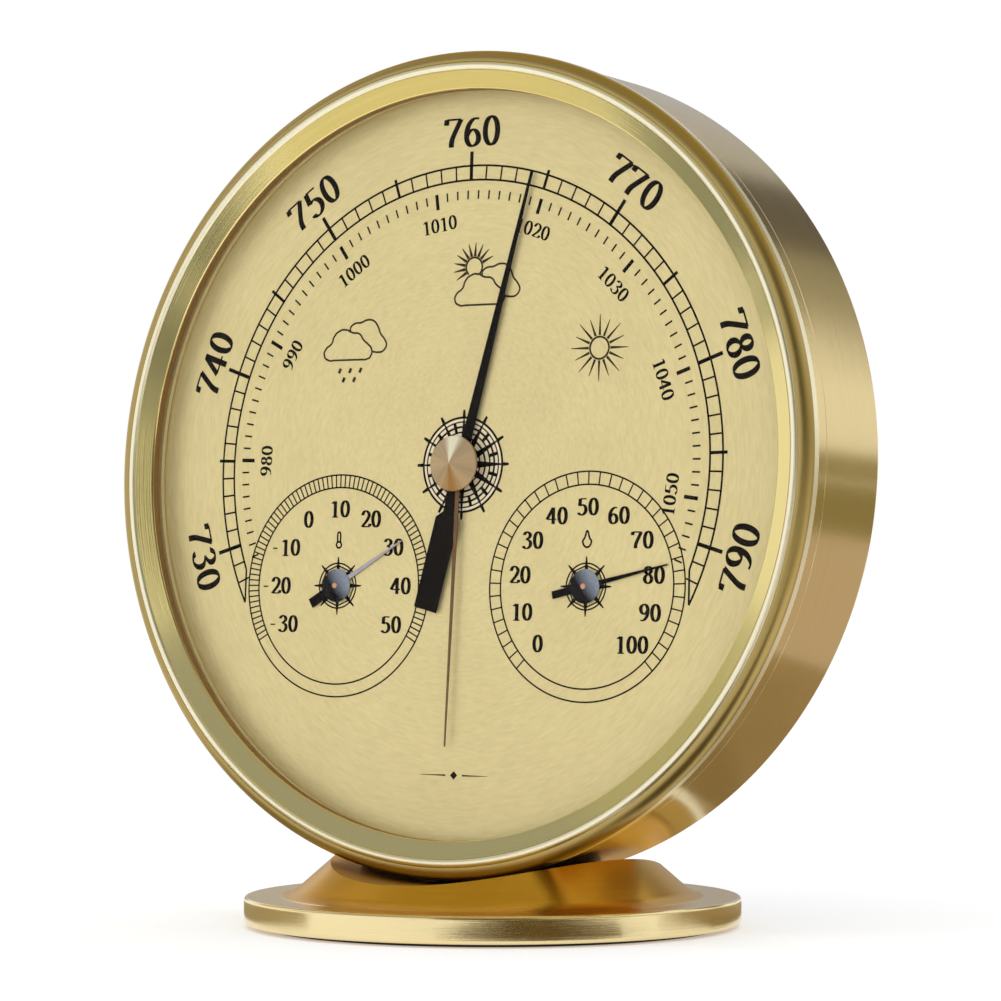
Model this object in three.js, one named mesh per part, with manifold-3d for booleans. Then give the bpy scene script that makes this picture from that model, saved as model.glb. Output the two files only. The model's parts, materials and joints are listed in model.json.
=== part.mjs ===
// Desk weather station: a round brass-coloured case with a barometer dial and two small dials, for
// temperature and humidity, standing on a turned base. Millimetres, +Z up, the dial faces -Y, and the
// origin is the middle of the underside.
// The case is modelled in a frame of its own, with X to the right, Z up in the dial's plane and Y into
// the case from the front of the bezel, and that frame leans back over the base.

import * as THREE from 'three';
import { mergeVertices } from 'three/addons/utils/BufferGeometryUtils.js';
import Module from 'manifold-3d';

const wasm = await Module();
wasm.setup();

// Fits
const SEAT_GAP = 0.25;
const RUN_GAP = 0.06;
const PUSH_GAP = 0.05;
const HAND_AIR = 0.12;
const SCREW_CLEARANCE = 0.3;

// Bezel, glass and dial
const BEZEL_RADIUS = 66;
const BEZEL_DEPTH = 6;
const BEZEL_SHOULDER = 2.6;
const BEZEL_FACE_WIDTH = 6.15;
const LIP_SETBACK = 1.4;
const LIP_THICKNESS = 1.6;
const SPIGOT_LENGTH = 3;
const SPIGOT_WALL = 0.9;
const BEZEL_REAR_CHAMFER = 0.3;
const GLASS_THICKNESS = 1;
const GLASS_TO_DIAL = 1.3;
const DIAL_THICKNESS = 0.6;
const SPACER_REVEAL = 0.5;
const RETAINER_WIDTH = 3;
const RETAINER_THICKNESS = 1.5;

// Case drum and back cover
const CASE_DEPTH = 23;
const CASE_STEP = 0.3;
const CASE_WALL = 1.2;
const REAR_EDGE_ROUND = 0.9;
const LEDGE_WIDTH = 6;
const LEDGE_THICKNESS = 1.2;
const COVER_THICKNESS = 1.1;
const COVER_SINK = 1.2;
const COVER_SCREW_COUNT = 3;
const COVER_SCREW_RADIUS = 0.9;
const COVER_SCREW_HEAD_RADIUS = 2;
const COVER_SCREW_HEAD = 0.8;
const COVER_SCREW_REACH = 1;
const AIR_SLOT_COUNT = 7;
const AIR_SLOT_PITCH = 7;
const AIR_SLOT_WIDTH = 2.4;
const AIR_SLOT_LENGTH = 24;
const AIR_SLOT_DROP = 34;
const CALIBRATION_ACCESS_RADIUS = 2.8;

// Stand
const LEAN = THREE.MathUtils.degToRad(3);
const STAND_FORWARD = 0.5;
const BASE_RADIUS = 40;
const BASE_TOP = 4.9;
const BASE_EDGE_ROUND = 0.9;
const BASE_LIFT = 0.6;
const NECK_FOOT_RADIUS = 32.8;
const NECK_SLOPE = THREE.MathUtils.degToRad(41);
const NECK_FILLET = 5;
const NECK_BLANK_TOP = 18;
const SADDLE_FLOOR = 6.8;
const SADDLE_GAP = 1;
const SADDLE_PAD_ANGLE = THREE.MathUtils.degToRad(16);
const SADDLE_PAD_INSET = 0.9;
const PAD_RADIUS = 37;
const PAD_THICKNESS = 1.2;
const BASE_SCREW_SPREAD = 9;
const BASE_SCREW_RADIUS = 1.9;
const BASE_SCREW_HEAD_RADIUS = 3.4;
const BASE_SCREW_HEAD = 2.2;
const BASE_SCREW_TIP = 1.3;
const NUT_BAR_LENGTH = 30;
const NUT_BAR_THICKNESS = 3;

// Set knob and hands
const KNOB_RADIUS = 4.45;
const KNOB_RIM = 0.35;
const KNOB_CONE = 1.3;
const SPINDLE_RADIUS = 0.8;
const SPINDLE_SOCKET = 0.8;
const KNOB_BUSH_RADIUS = 1.5;
const KNOB_BUSH_FLANGE_RADIUS = 2.6;
const KNOB_BUSH_FLANGE = 0.12;
const HAND_SHEET = 0.15;
const SET_HAND_LENGTH = 45;
const SET_HAND_TIP_HALF = 0.12;
const SET_HAND_ROOT_HALF = 0.4;
const SET_HAND_HUB_RADIUS = 1.8;
const SET_HAND_TAIL = 2.4;
const SET_HAND_TAIL_HALF = 0.5;
const SET_HAND_ANGLE = THREE.MathUtils.degToRad(181.5);
const PRESSURE_HAND_LENGTH = 48;
const PRESSURE_HAND_TIP_HALF = 0.2;
const PRESSURE_HAND_ROOT_HALF = 0.95;
const PRESSURE_HAND_TAIL = 24;
const PRESSURE_HAND_NECK = 8;
const PRESSURE_HAND_NECK_HALF = 1.05;
const PRESSURE_HAND_SLAB_HALF = 2.2;
const PRESSURE_HAND_ANGLE = THREE.MathUtils.degToRad(14.5);
const HAND_BUSH_RADIUS = 1.6;
const HAND_BUSH_COLLAR = 0.8;
const SUB_DIAL_X = 23.9;
const SUB_DIAL_DROP = 19.4;
const SUB_HAND_LIFT = 0.2;
const SUB_ARBOR_RADIUS = 0.45;
const SUB_CAP_RADIUS = 2.45;
const SUB_CAP_CROWN = 0.8;
const SUB_HAND_TIP_HALF = 0.1;
const SUB_HAND_ROOT_HALF = 0.4;
const SUB_HAND_NECK_HALF = 0.35;
const SUB_HAND_HUB_RADIUS = 1.7;
const THERMO_HAND_LENGTH = 14.5;
const THERMO_HAND_TAIL = 5.9;
const THERMO_HAND_SLAB_HALF = 0.8;
const THERMO_HAND_ANGLE = THREE.MathUtils.degToRad(60);
const HYGRO_HAND_LENGTH = 15.3;
const HYGRO_HAND_TAIL = 6.2;
const HYGRO_HAND_SLAB_HALF = 0.6;
const HYGRO_HAND_ANGLE = THREE.MathUtils.degToRad(77);

// Coil units behind the small dials
const UNIT_TO_MOVEMENT = 1.4;
const UNIT_DEPTH = 7;
const UNIT_WALL = 0.8;
const UNIT_ARBOR_RADIUS = 0.9;
const UNIT_COIL_TURNS = 3;
const UNIT_COIL_STRIP = 0.45;
const UNIT_COIL_WIDTH = 3;
const UNIT_COIL_CORE = 1.4;

// Pressure movement, whose depths share the room between its rear plate and the dial
const PLATE_TO_COVER = 2.15;
const PILLAR_RADIUS = 2;
const PILLAR_SCREW_RADIUS = 1;
const PILLAR_SCREW_REACH = 3;
const PILLAR_SCREW_HEAD = 1;
const PLATE_THICKNESS = 1.2;
const PLATE_HALF_WIDTH = 21;
const PLATE_TAIL_HALF_WIDTH = 12.5;
const PLATE_TOP = 46;
const PLATE_SHOULDER = -4;
const PLATE_BOTTOM = -32;
const PLATE_CORNER = 3;
const PILLAR_X = 17.5;
const PILLAR_TOP_Z = 42;
const PILLAR_FOOT_X = 6.5;
const PILLAR_FOOT_Z = -28.5;
const CAPSULE_Z = 26;
const CAPSULE_RADIUS = 17.6;
const CAPSULE_WALL = 0.8;
const CAPSULE_BACK_SHARE = 0.286;
const CAPSULE_STROKE_SHARE = 0.17;
const CAPSULE_SKIRT = 4;
const CAPSULE_RIPPLE = 0.3;
const CAPSULE_POST_RADIUS = 1.2;
const CALIBRATION_SCREW_RADIUS = 1.2;
const CALIBRATION_HEAD_RADIUS = 2.2;
const CALIBRATION_HEAD = 1.6;
const CALIBRATION_SLOT = 0.6;
const GEAR_CENTRE_DISTANCE = 24;
const PINION_TEETH = 12;
const SECTOR_WHEEL_TEETH = 108;
const SECTOR_FIRST_TOOTH = -6;
const SECTOR_LAST_TOOTH = 5;
const GEAR_BACKLASH = 0.2;
const GEAR_ADDENDUM = 0.8;
const GEAR_DEDENDUM = 1.25;
const GEAR_FLANK = THREE.MathUtils.degToRad(20);
const SECTOR_THICKNESS = 1.2;
const SECTOR_STANDOFF = 1.25;
const SECTOR_HUB_RADIUS = 3;
const SECTOR_RIM = 2.2;
const SECTOR_SPOKE = 2.56;
const SECTOR_WINDOW_BOTTOM = 7.2;
const SECTOR_WINDOW_TAPER = 0.25;
const SECTOR_POST_RADIUS = 1.2;
const SECTOR_COLLAR_RADIUS = 2.4;
const SECTOR_TAIL = 2;
const SECTOR_PIN_RADIUS = 0.5;
const SECTOR_PIN_OVERRUN = 1.55;
const PINION_OVERHANG = 0.2;
const ARBOR_RADIUS = 1;
const ARBOR_PIVOT_RADIUS = 0.8;
const BRIDGE_HALF_HEIGHT = 3;
const BRIDGE_THICKNESS = 0.8;
const BRIDGE_END = 3.2;
const BRIDGE_CORNER = 2.4;
const ROCKER_X = -8;
const ROCKER_SHARE = 0.74;
const ROCKER_RADIUS = 1;
const ROCKER_PIVOT_RADIUS = 0.6;
const ROCKER_TOP = 4.6;
const ROCKER_BOTTOM = -25;
const ROCKER_ARM_WIDTH = 2.2;
const ROCKER_ARM_THICKNESS = 1;
const ROCKER_ARM_CORNER = 0.66;
const ROCKER_FINGER_WIDTH = 1.65;
const ROCKER_ARM_ELBOW_X = -3;
const ROCKER_ARM_Z = 3;
const FINGER_TO_SECTOR = 1.75;
const BRACKET_THICKNESS = 1.2;
const BRACKET_HALF_WIDTH = 1.8;
const BRACKET_AIR = 0.4;
const HAIRSPRING_TURNS = 4;
const HAIRSPRING_STRIP = 0.2;
const HAIRSPRING_WIDTH = 0.5;
const HAIRSPRING_SHARE = 0.42;
const HAIRSPRING_RADIUS = 6.3;
const HAIRSPRING_STUD_RADIUS = 0.6;
const COLLET_RADIUS = 1.6;

// Facets
const ROUND_SEGMENTS = 56;
const INNER_SEGMENTS = 36;
const SMALL_SEGMENTS = 16;
const CUP_SEGMENTS = 24;
const FASTENER_SEGMENTS = 10;
const ARC_STEPS = 3;
const COIL_STEPS = 10;
const MERGE_DISTANCE = 1e-4;

// Depths of the stack behind the bezel, from front to back
const lipBack = LIP_SETBACK + LIP_THICKNESS;
const glassFront = lipBack + SEAT_GAP;
const glassBack = glassFront + GLASS_THICKNESS;
const dialFront = glassBack + GLASS_TO_DIAL;
const dialBack = dialFront + DIAL_THICKNESS;
const spigotBack = BEZEL_DEPTH + SPIGOT_LENGTH;
const coverBack = CASE_DEPTH - COVER_SINK;
const coverFront = coverBack - COVER_THICKNESS;
const ledgeBack = coverFront - SEAT_GAP;
const ledgeFront = ledgeBack - LEDGE_THICKNESS;
const plateBack = coverFront - PLATE_TO_COVER;
const plateFront = plateBack - PLATE_THICKNESS;
const movementRoom = plateFront - dialBack;
const setHandFront = glassBack + HAND_AIR;
const setHandBack = setHandFront + HAND_SHEET;
const subHandBack = dialFront - SUB_HAND_LIFT;
const subHandFront = subHandBack - HAND_SHEET;
const pressureHandFront = (setHandBack + subHandFront - HAND_SHEET) / 2;
const pressureHandBack = pressureHandFront + HAND_SHEET;

// Radii that fit inside each other
const ridgeRadius = BEZEL_RADIUS - BEZEL_SHOULDER;
const lipRadius = BEZEL_RADIUS - BEZEL_FACE_WIDTH;
const caseRadius = BEZEL_RADIUS - CASE_STEP;
const caseBore = caseRadius - CASE_WALL;
const ledgeRadius = caseBore - LEDGE_WIDTH;
const spigotRadius = caseBore - SEAT_GAP;
const bezelBore = spigotRadius - SPIGOT_WALL;
const stackRadius = bezelBore - SEAT_GAP;
const saddleRadius = caseRadius + SADDLE_GAP;
const coverScrewCircle = (caseBore + ledgeRadius) / 2;
const unitRadius = SUB_DIAL_X - PLATE_TAIL_HALF_WIDTH - UNIT_TO_MOVEMENT;

// Places that pieces share
const frontReach = (BEZEL_DEPTH + CASE_DEPTH) / 2 - STAND_FORWARD;
const caseHeight = SADDLE_FLOOR + saddleRadius / Math.cos(LEAN) + frontReach * Math.sin(LEAN);
const caseFrame = new THREE.Matrix4().makeRotationX(-LEAN);
caseFrame.setPosition(0, -frontReach * Math.cos(LEAN), caseHeight);
const padRecessTop = PAD_THICKNESS + SEAT_GAP;
const screwHeadTop = padRecessTop + SEAT_GAP + BASE_SCREW_HEAD;
const nutBarBottom = SEAT_GAP * 2 - Math.sqrt(caseBore ** 2 - (NUT_BAR_LENGTH / 2) ** 2);
const nutBarTop = nutBarBottom + NUT_BAR_THICKNESS;
const gearModule = GEAR_CENTRE_DISTANCE * 2 / (PINION_TEETH + SECTOR_WHEEL_TEETH);
const sectorPivotZ = -GEAR_CENTRE_DISTANCE;
const sectorBack = plateFront - SECTOR_STANDOFF;
const sectorFront = sectorBack - SECTOR_THICKNESS;
const sectorPinZ = sectorPivotZ + SECTOR_TAIL;
const rockerY = plateFront - movementRoom * ROCKER_SHARE;
const fingerDrop = sectorFront - FINGER_TO_SECTOR - rockerY;
const rockerArmBack = rockerY + ROCKER_ARM_THICKNESS / 2;
const capsuleBackFront = plateFront - SEAT_GAP - movementRoom * CAPSULE_BACK_SHARE;
const capsuleLidBack = capsuleBackFront - movementRoom * CAPSULE_STROKE_SHARE;
const hairspringBack = plateFront - movementRoom * HAIRSPRING_SHARE;
const hairspringFront = hairspringBack - HAIRSPRING_WIDTH;
const pillarPlaces = [
  [-PILLAR_X, PILLAR_TOP_Z],
  [PILLAR_X, PILLAR_TOP_Z],
  [-PILLAR_X, 0],
  [PILLAR_X, 0],
  [PILLAR_FOOT_X, PILLAR_FOOT_Z],
];

// Finishes, as seen in the photo or usual for the piece
const SATIN_BRASS = { color: 0xc9a95c, roughness: 0.3, metalness: 1 };
const AMBER_BRASS = { color: 0xb98d3e, roughness: 0.28, metalness: 1 };
const DIAL_GOLD = { color: 0xdccb94, roughness: 0.45, metalness: 0.6 };
const BLACK_PAINT = { color: 0x15130f, roughness: 0.5, metalness: 0 };
const PLAIN_BRASS = { color: 0xb5914a, roughness: 0.35, metalness: 1 };
const STEEL = { color: 0x9a9a98, roughness: 0.4, metalness: 1 };
const COPPER = { color: 0xb06a44, roughness: 0.35, metalness: 1 };
const RUBBER = { color: 0x1a1a1a, roughness: 0.9, metalness: 0 };
const DARK_PLASTIC = { color: 0x2a241c, roughness: 0.6, metalness: 0 };
const CLEAR_GLASS = { color: 0xf4f7f5, roughness: 0.05, metalness: 0 };
const FOIL = { color: 0xc8b48a, roughness: 0.5, metalness: 0.4 };

// A closed geometry as a solid, with coinciding corners merged and the slivers at an axis dropped.
function solidOf(geometry) {
  const bare = geometry.clone();
  bare.deleteAttribute('normal');
  bare.deleteAttribute('uv');
  const merged = mergeVertices(bare, MERGE_DISTANCE);
  const kept = [];
  for (let i = 0; i < merged.index.count; i += 3) {
    const [a, b, c] = [merged.index.getX(i), merged.index.getX(i + 1), merged.index.getX(i + 2)];
    if (a !== b && b !== c && c !== a) kept.push(a, b, c);
  }
  const vertProperties = new Float32Array(merged.attributes.position.array);
  const triVerts = new Uint32Array(kept);
  return new wasm.Manifold(new wasm.Mesh({ numProp: 3, vertProperties, triVerts }));
}

function geometryOf(solid) {
  const { vertProperties, triVerts } = solid.getMesh();
  const geometry = new THREE.BufferGeometry();
  geometry.setAttribute('position', new THREE.BufferAttribute(new Float32Array(vertProperties), 3));
  geometry.setIndex(new THREE.BufferAttribute(new Uint32Array(triVerts), 1));
  return geometry;
}

function cut(geometry, ...tools) {
  return geometryOf(tools.reduce((solid, tool) => solid.subtract(solidOf(tool)), solidOf(geometry)));
}

function join(geometry, ...others) {
  return geometryOf(others.reduce((solid, other) => solid.add(solidOf(other)), solidOf(geometry)));
}

function arcPoints(centreRadius, centreDepth, radius, from, to) {
  const points = [];
  for (let i = 0; i <= ARC_STEPS; i += 1) {
    const angle = from + (to - from) * i / ARC_STEPS;
    points.push([centreRadius + radius * Math.cos(angle), centreDepth + radius * Math.sin(angle)]);
  }
  return points;
}

// A piece turned about Y from its half section of [radius, depth] corners.
function turned(section, segments = ROUND_SEGMENTS) {
  const points = section.map(([radius, depth]) => new THREE.Vector2(radius, depth));
  if (THREE.ShapeUtils.area(points) < 0) points.reverse();
  if (points[0].x > 0) points.push(points[0].clone());
  return new THREE.LatheGeometry(points, segments);
}

function turnedUpright(section, segments) {
  return turned(section, segments).rotateX(Math.PI / 2);
}

function ring(innerRadius, outerRadius, front, back, segments) {
  const section = [[innerRadius, front], [outerRadius, front], [outerRadius, back], [innerRadius, back]];
  return turned(section, segments);
}

function rod(radius, front, back, segments = SMALL_SEGMENTS) {
  return turned([[0, front], [radius, front], [radius, back], [0, back]], segments);
}

// A flat piece in the dial's plane, from an outline in X and Z.
function plate(shape, front, back, curveSegments = SMALL_SEGMENTS / 4) {
  const options = { depth: back - front, bevelEnabled: false, curveSegments };
  return new THREE.ExtrudeGeometry(shape, options).rotateX(Math.PI / 2).translate(0, back, 0);
}

// A round hole through a flat piece, whose flats, and not its corners, lie at the radius.
function bore(radius, x = 0, z = 0) {
  const corner = radius / Math.cos(Math.PI / FASTENER_SEGMENTS);
  return new THREE.Path(Array.from({ length: FASTENER_SEGMENTS }, (_, i) => {
    const angle = Math.PI * 2 * i / FASTENER_SEGMENTS;
    return new THREE.Vector2(x + corner * Math.cos(angle), z + corner * Math.sin(angle));
  }));
}

function roundedOutline(corners, radius) {
  const shape = new THREE.Shape();
  corners.forEach((corner, i) => {
    const here = new THREE.Vector2(...corner);
    const next = corners[(i + 1) % corners.length];
    const before = new THREE.Vector2(...corners.at(i - 1)).sub(here).setLength(radius).add(here);
    const after = new THREE.Vector2(...next).sub(here).setLength(radius).add(here);
    if (i === 0) shape.moveTo(before.x, before.y);
    else shape.lineTo(before.x, before.y);
    shape.quadraticCurveTo(here.x, here.y, after.x, after.y);
  });
  return shape.closePath();
}

function part(name, geometry, finish) {
  const mesh = new THREE.Mesh(geometryOf(solidOf(geometry)), new THREE.MeshStandardMaterial(finish));
  mesh.name = name;
  return mesh;
}

// The same piece at several places, numbered from 1.
function partsAt(name, geometry, places, finish) {
  return places.map(([x, z], i) => part(`${name}_${i + 1}`, geometry.clone().translate(x, 0, z), finish));
}

// Upright holes for the two base screws, in the base's frame or seen from the case.
function baseScrewHoles(radius, inCase) {
  return [-1, 1].map((side) => {
    const section = [[0, 0], [radius, 0], [radius, caseHeight], [0, caseHeight]];
    const hole = turnedUpright(section, FASTENER_SEGMENTS);
    hole.translate(side * BASE_SCREW_SPREAD, 0, 0);
    return inCase ? hole.applyMatrix4(caseFrame.clone().invert()) : hole;
  });
}

// Stand: a turned base whose neck is hollowed to the case's curve, on a soft pad.
function makeBase() {
  const filletRadius = NECK_FOOT_RADIUS + NECK_FILLET * Math.tan(NECK_SLOPE / 2);
  const blankRadius = NECK_FOOT_RADIUS - (NECK_BLANK_TOP - BASE_TOP) / Math.tan(NECK_SLOPE);
  const edge = BASE_RADIUS - BASE_EDGE_ROUND;
  const section = [
    [0, padRecessTop],
    [PAD_RADIUS + SEAT_GAP, padRecessTop],
    [PAD_RADIUS + SEAT_GAP, BASE_LIFT],
    ...arcPoints(edge, BASE_LIFT + BASE_EDGE_ROUND, BASE_EDGE_ROUND, -Math.PI / 2, 0),
    ...arcPoints(edge, BASE_TOP - BASE_EDGE_ROUND, BASE_EDGE_ROUND, 0, Math.PI / 2),
    ...arcPoints(filletRadius, BASE_TOP + NECK_FILLET, NECK_FILLET, -Math.PI / 2, -Math.PI / 2 - NECK_SLOPE),
    [blankRadius, NECK_BLANK_TOP],
    [0, NECK_BLANK_TOP],
  ];
  const saddle = rod(saddleRadius, -BASE_RADIUS, CASE_DEPTH + BASE_RADIUS, ROUND_SEGMENTS);
  saddle.applyMatrix4(caseFrame);
  const counterbores = [-1, 1].map((side) => {
    const radius = BASE_SCREW_HEAD_RADIUS + SCREW_CLEARANCE;
    const section = [[0, 0], [radius, 0], [radius, screwHeadTop], [0, screwHeadTop]];
    const counterbore = turnedUpright(section, FASTENER_SEGMENTS);
    return counterbore.translate(side * BASE_SCREW_SPREAD, 0, 0);
  });
  const holes = baseScrewHoles(BASE_SCREW_RADIUS + SCREW_CLEARANCE, false);
  return part('base', cut(turnedUpright(section), saddle, ...counterbores, ...holes), AMBER_BRASS);
}

function makeBasePad() {
  const section = [[0, 0], [PAD_RADIUS, 0], [PAD_RADIUS, PAD_THICKNESS], [0, PAD_THICKNESS]];
  return part('base_pad', turnedUpright(section), RUBBER);
}

function makeBaseScrews() {
  const headTop = screwHeadTop - SEAT_GAP;
  const top = caseHeight + nutBarTop + BASE_SCREW_TIP;
  const section = [
    [0, headTop - BASE_SCREW_HEAD],
    [BASE_SCREW_HEAD_RADIUS, headTop - BASE_SCREW_HEAD],
    [BASE_SCREW_HEAD_RADIUS, headTop],
    [BASE_SCREW_RADIUS, headTop],
    [BASE_SCREW_RADIUS, top],
    [0, top],
  ];
  const places = [[-BASE_SCREW_SPREAD, 0], [BASE_SCREW_SPREAD, 0]];
  return partsAt('base_screw', turnedUpright(section, FASTENER_SEGMENTS), places, STEEL);
}

function makeSaddlePad() {
  const inner = caseRadius + SEAT_GAP;
  const outer = saddleRadius - SEAT_GAP;
  const middle = -Math.PI / 2;
  const shape = new THREE.Shape();
  shape.absarc(0, 0, inner, middle - SADDLE_PAD_ANGLE, middle + SADDLE_PAD_ANGLE, false);
  shape.absarc(0, 0, outer, middle + SADDLE_PAD_ANGLE, middle - SADDLE_PAD_ANGLE, true);
  const front = BEZEL_DEPTH + SADDLE_PAD_INSET;
  const strip = plate(shape, front, CASE_DEPTH - SADDLE_PAD_INSET);
  return part('saddle_pad', cut(strip, ...baseScrewHoles(BASE_SCREW_RADIUS + SCREW_CLEARANCE, true)), RUBBER);
}

function makeNutBar() {
  const front = spigotBack + SEAT_GAP;
  const back = ledgeFront - SEAT_GAP;
  const bar = new THREE.BoxGeometry(NUT_BAR_LENGTH, back - front, NUT_BAR_THICKNESS);
  bar.translate(0, (front + back) / 2, (nutBarBottom + nutBarTop) / 2);
  return part('nut_bar', cut(bar, ...baseScrewHoles(BASE_SCREW_RADIUS + SCREW_CLEARANCE, true)), STEEL);
}

// Case: a spun drum with a ledge for the back cover, closed in front by the bezel and its glass.
function coverScrewPlaces() {
  return Array.from({ length: COVER_SCREW_COUNT }, (_, i) => {
    const angle = Math.PI / 2 + i * Math.PI * 2 / COVER_SCREW_COUNT;
    return [coverScrewCircle * Math.cos(angle), coverScrewCircle * Math.sin(angle)];
  });
}

function makeCaseDrum() {
  const front = BEZEL_DEPTH + SEAT_GAP;
  const round = Math.min(REAR_EDGE_ROUND, CASE_WALL / 2);
  const section = [
    [caseBore, front],
    [caseRadius, front],
    ...arcPoints(caseRadius - round, CASE_DEPTH - round, round, 0, Math.PI / 2),
    [caseBore, CASE_DEPTH],
    [caseBore, ledgeBack],
    [ledgeRadius, ledgeBack],
    [ledgeRadius, ledgeFront],
    [caseBore, ledgeFront],
  ];
  const ledgeHoles = coverScrewPlaces().map(([x, z]) => {
    const radius = COVER_SCREW_RADIUS + SCREW_CLEARANCE;
    const hole = rod(radius, ledgeFront - LEDGE_THICKNESS, coverBack, FASTENER_SEGMENTS);
    return hole.translate(x, 0, z);
  });
  const holes = baseScrewHoles(BASE_SCREW_RADIUS + SCREW_CLEARANCE, true);
  return part('case_drum', cut(turned(section), ...ledgeHoles, ...holes), SATIN_BRASS);
}

function makeBezel() {
  const section = [
    [bezelBore, lipBack],
    [lipRadius, lipBack],
    [lipRadius, LIP_SETBACK],
    ...arcPoints(ridgeRadius, BEZEL_SHOULDER, BEZEL_SHOULDER, -Math.PI / 2, 0),
    [BEZEL_RADIUS, BEZEL_DEPTH - BEZEL_REAR_CHAMFER],
    [BEZEL_RADIUS - BEZEL_REAR_CHAMFER, BEZEL_DEPTH],
    [spigotRadius, BEZEL_DEPTH],
    [spigotRadius, spigotBack],
    [bezelBore, spigotBack],
  ];
  return part('bezel', turned(section), SATIN_BRASS);
}

function makeGlass() {
  const hole = KNOB_BUSH_RADIUS + SEAT_GAP;
  return part('glass', ring(hole, stackRadius, glassFront, glassBack, INNER_SEGMENTS), CLEAR_GLASS);
}

function makeSpacerRing() {
  const inner = lipRadius + SPACER_REVEAL;
  const geometry = ring(inner, stackRadius, glassBack + SEAT_GAP, dialFront - SEAT_GAP, INNER_SEGMENTS);
  return part('spacer_ring', geometry, DARK_PLASTIC);
}

function makeDialPlate() {
  const sheet = ring(HAND_BUSH_RADIUS + SEAT_GAP, stackRadius, dialFront, dialBack, INNER_SEGMENTS);
  const holes = [-1, 1].map((side) => {
    const hole = rod(SUB_ARBOR_RADIUS + SEAT_GAP, glassBack, dialBack + DIAL_THICKNESS);
    return hole.translate(side * SUB_DIAL_X, 0, -SUB_DIAL_DROP);
  });
  return part('dial_plate', cut(sheet, ...holes), DIAL_GOLD);
}

function makeRetainingRing() {
  const front = dialBack + SEAT_GAP;
  const back = front + RETAINER_THICKNESS;
  const geometry = ring(stackRadius - RETAINER_WIDTH, stackRadius, front, back, INNER_SEGMENTS);
  return part('retaining_ring', geometry, DARK_PLASTIC);
}

function airSlot(x) {
  const end = (AIR_SLOT_LENGTH - AIR_SLOT_WIDTH) / 2;
  const shape = new THREE.Shape();
  shape.absarc(x, end - AIR_SLOT_DROP, AIR_SLOT_WIDTH / 2, 0, Math.PI, false);
  shape.absarc(x, -end - AIR_SLOT_DROP, AIR_SLOT_WIDTH / 2, Math.PI, Math.PI * 2, false);
  return plate(shape, ledgeFront, CASE_DEPTH, 2);
}

function makeBackCover() {
  const slots = Array.from({ length: AIR_SLOT_COUNT }, (_, i) => {
    return airSlot((i - (AIR_SLOT_COUNT - 1) / 2) * AIR_SLOT_PITCH);
  });
  const access = rod(CALIBRATION_ACCESS_RADIUS, ledgeFront, CASE_DEPTH).translate(0, 0, CAPSULE_Z);
  const holes = coverScrewPlaces().map(([x, z]) => {
    const hole = rod(COVER_SCREW_RADIUS + SCREW_CLEARANCE, ledgeFront, CASE_DEPTH, FASTENER_SEGMENTS);
    return hole.translate(x, 0, z);
  });
  const sheet = rod(caseBore - SEAT_GAP, coverFront, coverBack, ROUND_SEGMENTS);
  return part('back_cover', cut(sheet, access, ...slots, ...holes), DARK_PLASTIC);
}

function makeBackCoverScrews() {
  const headFront = coverBack + SEAT_GAP;
  const section = [
    [0, ledgeFront - COVER_SCREW_REACH],
    [COVER_SCREW_RADIUS, ledgeFront - COVER_SCREW_REACH],
    [COVER_SCREW_RADIUS, headFront],
    [COVER_SCREW_HEAD_RADIUS, headFront],
    [COVER_SCREW_HEAD_RADIUS, headFront + COVER_SCREW_HEAD / 2],
    [COVER_SCREW_HEAD_RADIUS / 2, headFront + COVER_SCREW_HEAD],
    [0, headFront + COVER_SCREW_HEAD],
  ];
  return partsAt('back_cover_screw', turned(section, FASTENER_SEGMENTS), coverScrewPlaces(), STEEL);
}

// Set hand: turned by the knob in front of the glass, through a bush in the glass.
const knobBack = glassFront - SEAT_GAP;
const knobFront = knobBack - KNOB_RIM - KNOB_CONE;
const spindleFront = knobBack - SPINDLE_SOCKET;

function makeSetKnob() {
  const socket = SPINDLE_RADIUS + PUSH_GAP;
  const section = [
    [0, knobFront],
    [KNOB_RADIUS, knobBack - KNOB_RIM],
    [KNOB_RADIUS, knobBack],
    [socket, knobBack],
    [socket, spindleFront - PUSH_GAP],
    [0, spindleFront - PUSH_GAP],
  ];
  return part('set_knob', turned(section, SMALL_SEGMENTS * 2), PLAIN_BRASS);
}

function makeKnobSpindle() {
  return part('knob_spindle', rod(SPINDLE_RADIUS, spindleFront, setHandBack), PLAIN_BRASS);
}

function makeKnobBush() {
  const inner = SPINDLE_RADIUS + RUN_GAP;
  const flangeBack = glassFront - (SEAT_GAP - KNOB_BUSH_FLANGE) / 2;
  const section = [
    [inner, flangeBack - KNOB_BUSH_FLANGE],
    [KNOB_BUSH_FLANGE_RADIUS, flangeBack - KNOB_BUSH_FLANGE],
    [KNOB_BUSH_FLANGE_RADIUS, flangeBack],
    [KNOB_BUSH_RADIUS, flangeBack],
    [KNOB_BUSH_RADIUS, glassBack],
    [inner, glassBack],
  ];
  return part('knob_bush', turned(section, SMALL_SEGMENTS), PLAIN_BRASS);
}

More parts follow.
